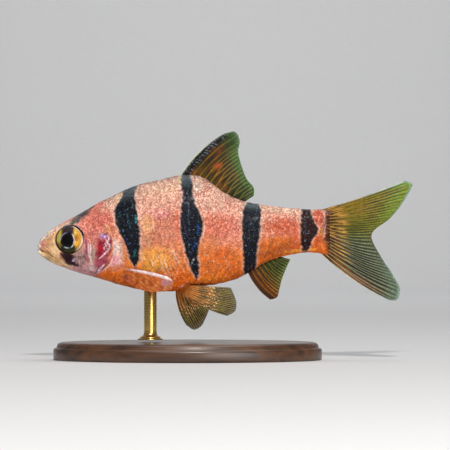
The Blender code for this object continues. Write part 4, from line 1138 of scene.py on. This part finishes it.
# Scales: hard, clear and smooth, so they shine more than the skin in small broken lights
scale_finish = fish_finish("clear_scales_over_pigment", 0.46, 0.04, 0.35)
plate_faces, plate_rim = scale_faces()
across = np.linspace(-1, 1, SCALE_ROWS)
length = np.concatenate([np.linspace(0, 0.38, 3, endpoint=False), np.linspace(0.38, 1, 11)])
grid_u, grid_w = np.meshgrid(across, length, indexing="ij")
draw = np.random.default_rng(7)
for side, side_name in ((-1, "left"), (1, "right")):
    halves = {"upper": [], "lower": []}
    for root in scale_roots():
        girth = float(np.interp(root[0], table_x, table_girth))
        halves["upper" if root[1] < 0.47 * girth - 0.1 else "lower"].append(root)
    for half_name, roots in halves.items():
        points = []
        faces = []
        patches = []
        tones = []
        for root_x, place, pitch in roots:
            reach = 0.56 + 0.44 * np.sqrt(np.clip(1 - grid_u ** 2, 0, 1))
            x = root_x - 0.3 + SCALE_LENGTH * grid_w * reach
            girth = np.interp(np.clip(x, table_x[0], 13.9), table_x, table_girth)
            here = float(np.interp(root_x, table_x, table_girth))
            share = (place + SCALE_HALF_HEIGHT * pitch * grid_u) / here
            angle = girth_angle(x, np.clip(share, 0.006, 0.994))
            lift = -0.17 + 0.13 * grid_w * reach - 0.015 * grid_u ** 2 + draw.uniform(-0.006, 0.006)
            lift = lift + 0.12 * ramp(x, 13.7, 14.6)
            lift = lift - 0.025 * ramp(grid_w, 0.9, 1.0)
            top = lifted(x, angle, lift).reshape(-1, 3)
            base = lifted(x, angle, lift - SCALE_THICKNESS).reshape(-1, 3)
            plate = np.vstack([top, base[plate_rim], base.mean(axis=0)[None]])
            plate[:, 1] *= side
            start = len(points) * len(plate)
            faces += [tuple(start + index for index in face) for face in plate_faces]
            points.append(plate)
            rim = np.maximum(ramp(grid_w, 0.86, 1.0), ramp(np.abs(grid_u), 0.9, 1.0)).ravel()
            tones.append((draw.uniform(0.95, 1.05), rim))
            flat_place = ((root_x - SNOUT_X) / 40, 0.5 + side * 0.5 * place / here)
            local = np.stack([grid_w.ravel() - 0.5, grid_u.ravel() / 2], -1)
            local = np.vstack([local, local[plate_rim], [[0, 0]]])
            patches.append(np.array(flat_place) + PATCH * local)
        joined = np.vstack(points)
        coat = mesh_piece("scales_%s_%s" % (side_name, half_name), joined, faces)
        outward(coat)
        color, marks = fish_paint(joined)
        size = len(points[0])
        for k, (tone, rim) in enumerate(tones):
            part = slice(k * size, k * size + len(rim))
            color[k * size:(k + 1) * size] *= tone
            clear = 1 - marks[part, 0]
            color[part] = tint(color[part], "#8A5646", 0.16 * rim * clear)
        keep_paint(coat, color, marks)
        layer = coat.data.uv_layers.new(name="OFBake")
        corner = np.empty(len(coat.data.loops), dtype=np.int32)
        coat.data.loops.foreach_get("vertex_index", corner)
        layer.data.foreach_set("uv", np.vstack(patches)[corner].ravel())
        coat.data.materials.append(scale_finish)
        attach(coat, "root")


# Fins
# Thin clear skin spread on bony rays. Each soft ray is a row of short joints that forks twice
# toward its tip; the colour sits in the skin along the rays and thins out at the margin.
MEMBRANE = 0.07
RAY_RADIUS = 0.13


def fin_sheet(root, margin, columns, rows, bow, sway, notch=None):
    """Points of a fin's middle surface and the outward normals."""
    u = np.linspace(0, 1, columns)
    v = np.linspace(0, 1, rows)
    start = along(root, u)
    end = along(margin, u)
    reach = v[None, :] * (1.0 if notch is None else notch[:, None])
    across = np.array(bow[0])[None, :] * (1 - u)[:, None] + np.array(bow[1])[None, :] * u[:, None]
    points = start[:, None] + (end - start)[:, None] * reach[..., None]
    points = points + across[:, None] * (4 * reach * (1 - reach))[..., None]
    points[..., 1] += sway * reach ** 2
    normal = np.cross(np.gradient(points, axis=0), np.gradient(points, axis=1))
    normal /= np.linalg.norm(normal, axis=-1)[..., None]
    return points, normal


def ray_pattern(u, v, rays, forks, unbranched):
    """How much of a ray lies at each spot, from 0 on bare skin to 1 on a ray's crest."""
    place = u * (rays - 1)
    index = np.clip(np.round(place), 0, rays - 1)
    offset = place - index
    total = np.zeros_like(offset)
    branched = (index >= unbranched[0]) & (index < rays - unbranched[1])
    first = ramp(v, forks[0], forks[0] + 0.45) * 0.25
    second = ramp(v, forks[1], forks[1] + 0.6) * 0.1
    for side in (-1, 1):
        for twig in (-1, 1):
            center = np.where(branched, side * first + twig * second, 0.0)
            width = 0.11 - 0.05 * v
            total = np.maximum(total, np.exp(-((offset - center) / width) ** 2))
    return total


def strands(u, v, rays, seed):
    """An uneven field drawn out along the rays, one ray wide."""
    return waver(2.5 * v, 1.5 * u * rays, 1.0, seed)


def fin_piece(name, node, root, margin, rays, paint, bow=((0, 0, 0), (0, 0, 0)), sway=0.0,
              forks=(0.12, 0.6), unbranched=(1, 0), thick=1.0, per_ray=24, rows=70, joint=0.35):
    """A fin of one closed mesh with rays raised on both faces, painted by its own function."""
    columns = per_ray * (rays - 1) + 1
    u = np.linspace(0, 1, columns)
    edge = ray_pattern(u, np.ones_like(u), rays, forks, unbranched)
    notch = 0.993 + 0.007 * edge
    points, normal = fin_sheet(root, margin, columns, rows, bow, sway, notch)
    grid_u, grid_v = np.meshgrid(u, np.linspace(0, 1, rows), indexing="ij")
    ray = ray_pattern(grid_u, grid_v, rays, forks, unbranched)
    length = np.linalg.norm(points - points[:, :1], axis=-1)
    step = 0.618 * np.round(grid_u * (rays - 1))
    beads = 0.82 + 0.18 * np.cos(2 * math.pi * (length / joint + step))
    beads = np.where(grid_v > 0.15, beads, 1.0)
    half = MEMBRANE / 2 + thick * RAY_RADIUS * (1 - 0.72 * grid_v) * ray * beads
    half *= 1 - 0.6 * ramp(grid_v, 0.93, 1.0)
    front = (points + normal * half[..., None]).reshape(-1, 3)
    back = (points - normal * half[..., None]).reshape(-1, 3)
    count = len(front)
    faces = grid_faces(columns, rows)
    faces += [tuple(index + count for index in face[::-1]) for face in faces]
    rim = [i * rows for i in range(columns)]
    rim += [(columns - 1) * rows + j for j in range(1, rows)]
    rim += [i * rows + rows - 1 for i in range(columns - 2, -1, -1)]
    rim += list(range(rows - 2, 0, -1))
    for a, b in zip(rim, rim[1:] + rim[:1]):
        faces.append((a, b, b + count, a + count))
    fin = mesh_piece(name, np.vstack([front, back]), faces)
    outward(fin)
    color, veil = paint(grid_u, grid_v, ray * beads, points)
    flat = np.concatenate([color.reshape(-1, 3), np.clip(veil, 0, 1).reshape(-1, 1)], axis=1)
    keep_paint(fin, np.vstack([flat, flat]))
    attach(fin, "root")
    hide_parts(node)
    return fin


# Fin skin: a clear wet film over amber and olive pigment; the alpha stands for how much of the
# light the skin stops, less at the margin and all of it on the rays, which are horn
def fin_skin():
    material, tree, shader, place = new_material("clear_fin_skin")
    paint = add_node(tree, "Attribute", {"attribute_name": "paint"})
    grain = add_node(tree, "TexNoise", {"Scale": 2600.0, "Detail": 3.0}, {"Vector": place})
    shade = add_node(tree, "MapRange",
                     {"From Min": 0.3, "From Max": 0.7, "To Min": 0.75, "To Max": 1.25},
                     {"Value": grain})
    mixed = add_node(tree, "VectorMath", {"operation": "SCALE"}, {0: paint, "Scale": shade})
    add_node(tree, shader, {}, {"Base Color": mixed})
    add_node(tree, shader, {}, {"Alpha": paint.outputs["Alpha"]})
    add_node(tree, shader, {
        "Roughness": 0.4, "IOR": 1.4, "Specular IOR Level": 0.2, "Coat Weight": 0.1,
        "Coat Roughness": 0.15})
    return material


fin_finish = fin_skin()


def back_line(start, end, sink):
    """Points under the back between two X values."""
    return [(x, 0.0, float(body_outline(x)[0]) - sink) for x in np.linspace(start, end, 5)]


def belly_line(start, end, sink):
    """Points above the belly line between two X values."""
    return [(x, 0.0, float(body_outline(x)[1]) + sink) for x in np.linspace(start, end, 4)]


def dorsal_paint(u, v, ray, points):
    color = laid(
        plain(u, "#34260A"),
        ("#4C3A0E", ramp(v, 0.35, 0.05)),
        ("#1E2C06", ramp(u, 0.5, 0.85)),
        ("#2E5A12", ramp(v, 0.65, 1.0)))
    streak = strands(u, v, 12, 31)
    color = laid(
        color,
        ("#7A3E14", 0.7 * ramp(streak, 0.0, 1.2) * ramp(v, 0.85, 0.55) * ramp(u, 0.85, 0.6)),
        ("#1A140A", 0.6 * ramp(-streak, 0.3, 1.3)),
        ("#B4441C", 0.7 * spot(points[..., 0], points[..., 2], (-0.9, 26.0), (0.5, 0.3), 25, 0.6)))
    shaft = ray ** 1.3 * ramp(u, 0.12, 0.2)
    color = laid(
        color,
        ("#A87C20", 0.8 * shaft * ramp(v, 0.95, 0.5) * ramp(u, 1.1, 0.6)),
        ("#76883C", 0.7 * shaft * ramp(v + 0.7 * u, 0.6, 1.2)))
    stripe = ramp(u, 0.17, 0.1) * ramp(u, 0.008, 0.022)
    color = laid(
        color,
        ("#0E0C0A", 0.95 * stripe * ramp(v, 0.97, 0.8)),
        ("#8C98A0", 0.8 * stripe * ramp(waver(points[..., 0], points[..., 2], 0.4, 37), 0.5, 1.1)),
        ("#D2D6BC", ramp(u, 0.03, 0.005) * ramp(v, 1.0, 0.5)),
        ("#7E9468", 0.5 * ramp(v, 0.965, 1.0)))
    veil = 1.0 - 0.3 * ramp(v, 0.85, 1.0) + 0.3 * ray
    return color, veil


dorsal_margin = (
    (0.1, 0, 30.4), (1.4, 0, 30.6), (2.0, 0, 29.5), (1.8, 0, 28.0),
    (2.35, 0, 25.7), (2.9, 0, 24.3), (3.9, 0, 22.9), (3.85, 0, 21.95),
)
dorsal = fin_piece("dorsal_rays", "dorsal_fin", back_line(-6.3, 2.3, 0.65), dorsal_margin, 12,
                   dorsal_paint, ((-0.45, 0, 0.5), (0, 0, 0.1)), 0.35, unbranched=(4, 0))


def anal_paint(u, v, ray, points):
    color = laid(
        plain(u, "#2E3210"),
        ("#5E300C", ramp(u, 0.5, 0.1)),
        ("#2E1A0C", ramp(u, 0.16, 0.0)),
        ("#44561C", ramp(v, 0.75, 1.0) * ramp(u, 0.2, 0.6)),
        ("#1C140A", 0.6 * ramp(strands(u, v, 9, 41), 0.2, 1.2)))
    shaft = ray ** 1.3
    color = laid(
        color,
        ("#C07E22", 0.8 * shaft * ramp(u, 0.8, 0.3)),
        ("#768A28", 0.65 * shaft * ramp(u + 0.3 * v, 0.4, 0.9)))
    veil = 1.0 - 0.3 * ramp(v, 0.82, 1.0) * ramp(u, 0.3, 0.8) + 0.3 * ray
    return color, veil


anal_margin = (
    (6.1, 0, 8.05), (6.9, 0, 8.3), (7.3, 0, 9.5), (7.6, 0, 10.7),
    (8.05, 0, 11.9), (8.75, 0, 13.5),
)
anal = fin_piece("anal_rays", "anal_fin", belly_line(2.9, 6.9, 0.65), anal_margin, 9,
                 anal_paint, ((-0.2, 0, -0.35), (0, 0, -0.1)), -0.25, unbranched=(2, 0))


def tail_paint(u, v, ray, points):
    streak = strands(u, v, 19, 51)
    color = laid(
        plain(u, "#2A3A0E"),
        ("#605A02", ramp(u, 0.42, 0.2) * ramp(v, 0.9, 0.5)),
        ("#8C5A10", 0.6 * ramp(u, 0.3, 0.14) * ramp(streak, -0.2, 0.9) * ramp(v, 0.8, 0.4)),
        ("#0C0C08", ramp(u, 0.44, 0.66)),
        ("#7A4628", ramp(u, 0.88, 0.97) * ramp(v, 1.0, 0.5)),
        ("#5A8A1E", ramp(v, 0.65, 1.0) * ramp(u, 0.5, 0.2)),
        ("#3E5A4A", ramp(v, 0.75, 1.0) * ramp(u, 0.55, 0.8)),
        ("#15120C", 0.55 * ramp(-streak, 0.2, 1.2)))
    reach = points[..., 0] + 0.7 * streak
    color = laid(
        color,
        ("#8A5A18", 0.65 * ramp(reach, 17.2, 14.6)),
        ("#340E08", 0.95 * ramp(reach, 15.7, 14.3)),
        ("#D8A038", 0.7 * ramp(-streak, 0.3, 0.9) * ramp(reach, 16.6, 14.6)))
    shaft = ray ** 1.1
    color = laid(
        color,
        ("#A89420", 0.75 * shaft * ramp(u, 0.6, 0.4)),
        ("#B8C294", (0.8 - 0.35 * v) * shaft * ramp(u, 0.4, 0.6)),
        ("#DDB060", 0.7 * shaft * ramp(reach, 16.6, 14.8)),
        ("#C8D0C0", 0.9 * ramp(np.abs(u - 0.5), 0.478, 0.496) * ramp(v, 0.05, 0.3)),
        ("#8CAC9C", 0.7 * ramp(v, 0.955, 0.995) * ramp(np.abs(u - 0.5), 0.1, 0.4)))
    veil = 1.0 - 0.3 * ramp(v, 0.85, 1.0) + 0.3 * ray
    return color, veil


tail_root = ((13.0, 0, 20.15), (13.6, 0, 19.0), (13.8, 0, 17.2), (13.6, 0, 15.2), (13.0, 0, 14.1))
tail_margin = (
    (24.2, 0, 24.05), (25.15, 0, 23.65), (24.5, 0, 22.1), (22.3, 0, 19.1), (19.7, 0, 16.75),
    (20.9, 0, 13.9), (22.7, 0, 11.1), (23.5, 0, 9.3), (23.05, 0, 8.0), (21.9, 0, 8.0),
)
tail = fin_piece("tail_rays", "caudal_fin", tail_root, tail_margin, 19, tail_paint,
                 ((0, 0, -0.12), (-0.1, 0, -0.5)), 0.5, forks=(0.12, 0.5), unbranched=(1, 1),
                 per_ray=22, rows=90)


def splay(points, side, root_x, root_y, by_drop, by_reach):
    """Turn side-view points into a fin margin that leans out from the body."""
    result = []
    for x, z in points:
        lean = root_y + by_drop * (10.0 - z) + by_reach * (x - root_x)
        result.append((x, side * lean, z))
    return result


def pelvic_paint(u, v, ray, points):
    color = laid(
        plain(u, "#A4581A"),
        ("#8A4416", 0.6 * ramp(u, 0.3, 0.0)),
        ("#3A4810", 0.9 * ramp(v, 0.4, 0.75)))
    streak = strands(u, v, 9, 43)
    color = laid(
        color,
        ("#22160A", 0.9 * ramp(streak, -0.4, 0.6) * ramp(v, 0.1, 0.35)),
        ("#D07A20", 0.6 * ramp(-streak, 0.2, 1.1) * ramp(v, 0.8, 0.4)),
        ("#F0D490", (0.95 - 0.65 * v) * ray * ramp(v, 0.05, 0.2)))
    fleck = waver(points[..., 0], points[..., 2], 0.3, 47)
    color = tint(color, "#F8DCA4", 0.8 * ramp(fleck, 0.5, 0.9) * np.exp(-((v - 0.58) / 0.14) ** 2))
    # Painted light: the far (right) fin is painted 1.7 times as bright as the near one, a lit copy of
    # the same fin colour
    color = color * np.where(points[..., 1] > 0, 1.7, 1.0)[..., None]
    veil = 1.0 - 0.35 * ramp(v, 0.8, 1.0) + 0.3 * ray
    return color, veil


left_root = ((-6.15, -1.1, 9.35), (-5.25, -1.4, 10.05))
left_margin = ((0.4, 6.0), (1.35, 6.6), (1.55, 7.6), (1.2, 8.8), (0.8, 9.7))
pelvic_left = fin_piece("pelvic_rays_left", "pelvic_fin_left", left_root,
                        splay(left_margin, -1, -5.0, 1.2, 0.45, 0.08), 9, pelvic_paint,
                        ((-0.1, 0, -0.45), (0, 0, 0)))
right_root = ((-6.6, 1.1, 9.95), (-5.1, 1.35, 9.95))
right_margin = ((-5.2, 4.5), (-4.1, 3.9), (-3.3, 4.3), (-2.6, 5.5), (-2.05, 6.9))
pelvic_right = fin_piece("pelvic_rays_right", "pelvic_fin_right", right_root,
                         splay(right_margin, 1, -5.0, 1.2, 0.45, 0.08), 9, pelvic_paint,
                         ((-0.5, 0, 0), (0.1, 0, 0.15)))


def pectoral_paint(u, v, ray, points):
    x = points[..., 0]
    z = points[..., 2]
    color = laid(
        plain(u, "#D26416"),
        ("#B4806C", 0.5 * ramp(v, 0.7, 0.95) * ramp(u, 0.45, 0.2)),
        ("#D8604A", 0.8 * spot(x, z, (-13.4, 10.7), (0.9, 0.7))))
    fleck = 0.6 * waver(x, z, 1.1, 35) + 0.6 * waver(x, z, 0.5, 36)
    color = laid(
        color,
        ("#7A2C0C", 0.55 * ramp(fleck, 0.1, 1.0)),
        ("#F2A860", 0.5 * ramp(-fleck, 0.2, 1.0)),
        ("#F2C8A0", 0.25 * ray),
        ("#C890B0", 0.6 * spot(x, z, (-7.9, 10.4), (0.5, 0.4))))
    edge = ramp(u, 0.17, 0.08) * ramp(v, 0.08, 0.4)
    color = tint(color, "#FBE6E6", edge)
    veil = 0.8 + 0.2 * ray + 0.3 * ramp(u, 0.12, 0.03) - 0.25 * ramp(v, 0.9, 1)
    return color, veil * ramp(v, 0.02, 0.16)


pectoral_margin = ((-7.5, 11.2), (-6.85, 10.5), (-7.0, 9.7), (-8.3, 9.25), (-10.0, 9.2), (-11.7, 9.6))
pectorals = []
for side, name in ((-1, "left"), (1, "right")):
    top = lifted(np.array(-14.4), angle_at(np.array(-14.4), 12.2), -0.35) * (1, side, 1)
    bottom = lifted(np.array(-13.8), angle_at(np.array(-13.8), 10.9), -0.35) * (1, side, 1)
    reach = splay(pectoral_margin, side, -14.0, 2.3, 0.0, 0.4)
    pectorals.append(fin_piece("pectoral_rays_" + name, "pectoral_fin_" + name, (top, bottom), reach,
                               13, pectoral_paint, ((0, 0, 0.25), (0, 0, -0.1)), thick=0.8,
                               per_ray=14))

for fin, slot_name in ((dorsal, "dorsal_membrane"), (tail, "tail_membrane"), (anal, "lower_membrane"),
                       (pelvic_left, "lower_membrane"), (pelvic_right, "lower_membrane"),
                       (pectorals[0], "lower_membrane"), (pectorals[1], "lower_membrane")):
    fin.data.materials.append(fin_finish)


# Studio
# A plain pale sweep of paper that curves up behind the model, three soft lamps on the model and
# one on the paper, and the camera, level with the fish and square to its left flank.
VIEW_CENTER_Z = 18.07
CAMERA_DISTANCE = 450.0
CAMERA_LENS = 268.66
PAPER_HALF_WIDTH = 900.0

sweep_points = []
profile = [(-0.6, 0.0)]
for k in range(13):
    turn = math.radians(7.5 * k)
    profile.append((0.46 + 0.12 * math.sin(turn), 0.12 - 0.12 * math.cos(turn)))
profile.append((0.58, 0.7))
for y, z in profile:
    sweep_points += [(side * PAPER_HALF_WIDTH, y / MM, z / MM) for side in (-1, 1)]
floor = mesh_piece("paper_sweep", sweep_points, grid_faces(len(profile), 2))
floor.data.shade_smooth()
material, tree, shader, place = new_material("matt_paper")
fibre = add_node(tree, "TexNoise", {"Scale": 900.0, "Detail": 2.0}, {"Vector": place})
tone = add_node(tree, "MapRange", {"To Min": 0.74, "To Max": 0.78}, {"Value": fibre})
add_node(tree, shader, {}, {"Base Color": tone})
shader.inputs["Roughness"].default_value = 0.9
floor.data.materials.append(material)

for name, place, goal, size, power, color in (
    ("key", (0.02, -0.32, 0.26), (0.0, 0.0, 0.018), 0.04, 0.86, (1.0, 0.97, 0.93)),
    ("fill", (0.14, -0.32, 0.02), (0.0, 0.0, 0.018), 0.2, 0.5, (1.0, 0.98, 0.96)),
    ("top", (0.02, 0.04, 0.30), (0.0, 0.0, 0.018), 0.2, 0.32, (1.0, 1.0, 1.0)),
    ("backdrop", (0.0, 0.36, 0.32), (0.0, 0.58, 0.04), 0.2, 0.4, (1.0, 1.0, 1.0)),
):
    lamp_data = bpy.data.lights.new(name, "AREA")
    lamp_data.shape = "DISK"
    lamp_data.size = size
    lamp_data.energy = power
    lamp_data.color = color
    lamp = bpy.data.objects.new(name, lamp_data)
    lamp.location = place
    lamp.rotation_euler = (Vector(goal) - Vector(place)).to_track_quat("-Z", "Y").to_euler()
    bpy.context.scene.collection.objects.link(lamp)

world = bpy.data.worlds.new("studio")
world.use_nodes = True
world.node_tree.nodes["Background"].inputs["Color"].default_value = (0.9, 0.93, 1.0, 1)
world.node_tree.nodes["Background"].inputs["Strength"].default_value = 0.2
bpy.context.scene.world = world

camera_data = bpy.data.cameras.new("camera")
camera_data.lens = CAMERA_LENS
camera_data.sensor_width = 36
camera_data.clip_start = 0.005
camera = bpy.data.objects.new("camera", camera_data)
camera.location = (0.0, -CAMERA_DISTANCE * MM, VIEW_CENTER_Z * MM)
camera.rotation_euler = (math.radians(90), 0, 0)
bpy.context.scene.collection.objects.link(camera)
bpy.context.scene.camera = camera
bpy.context.scene.view_settings.view_transform = "Standard"
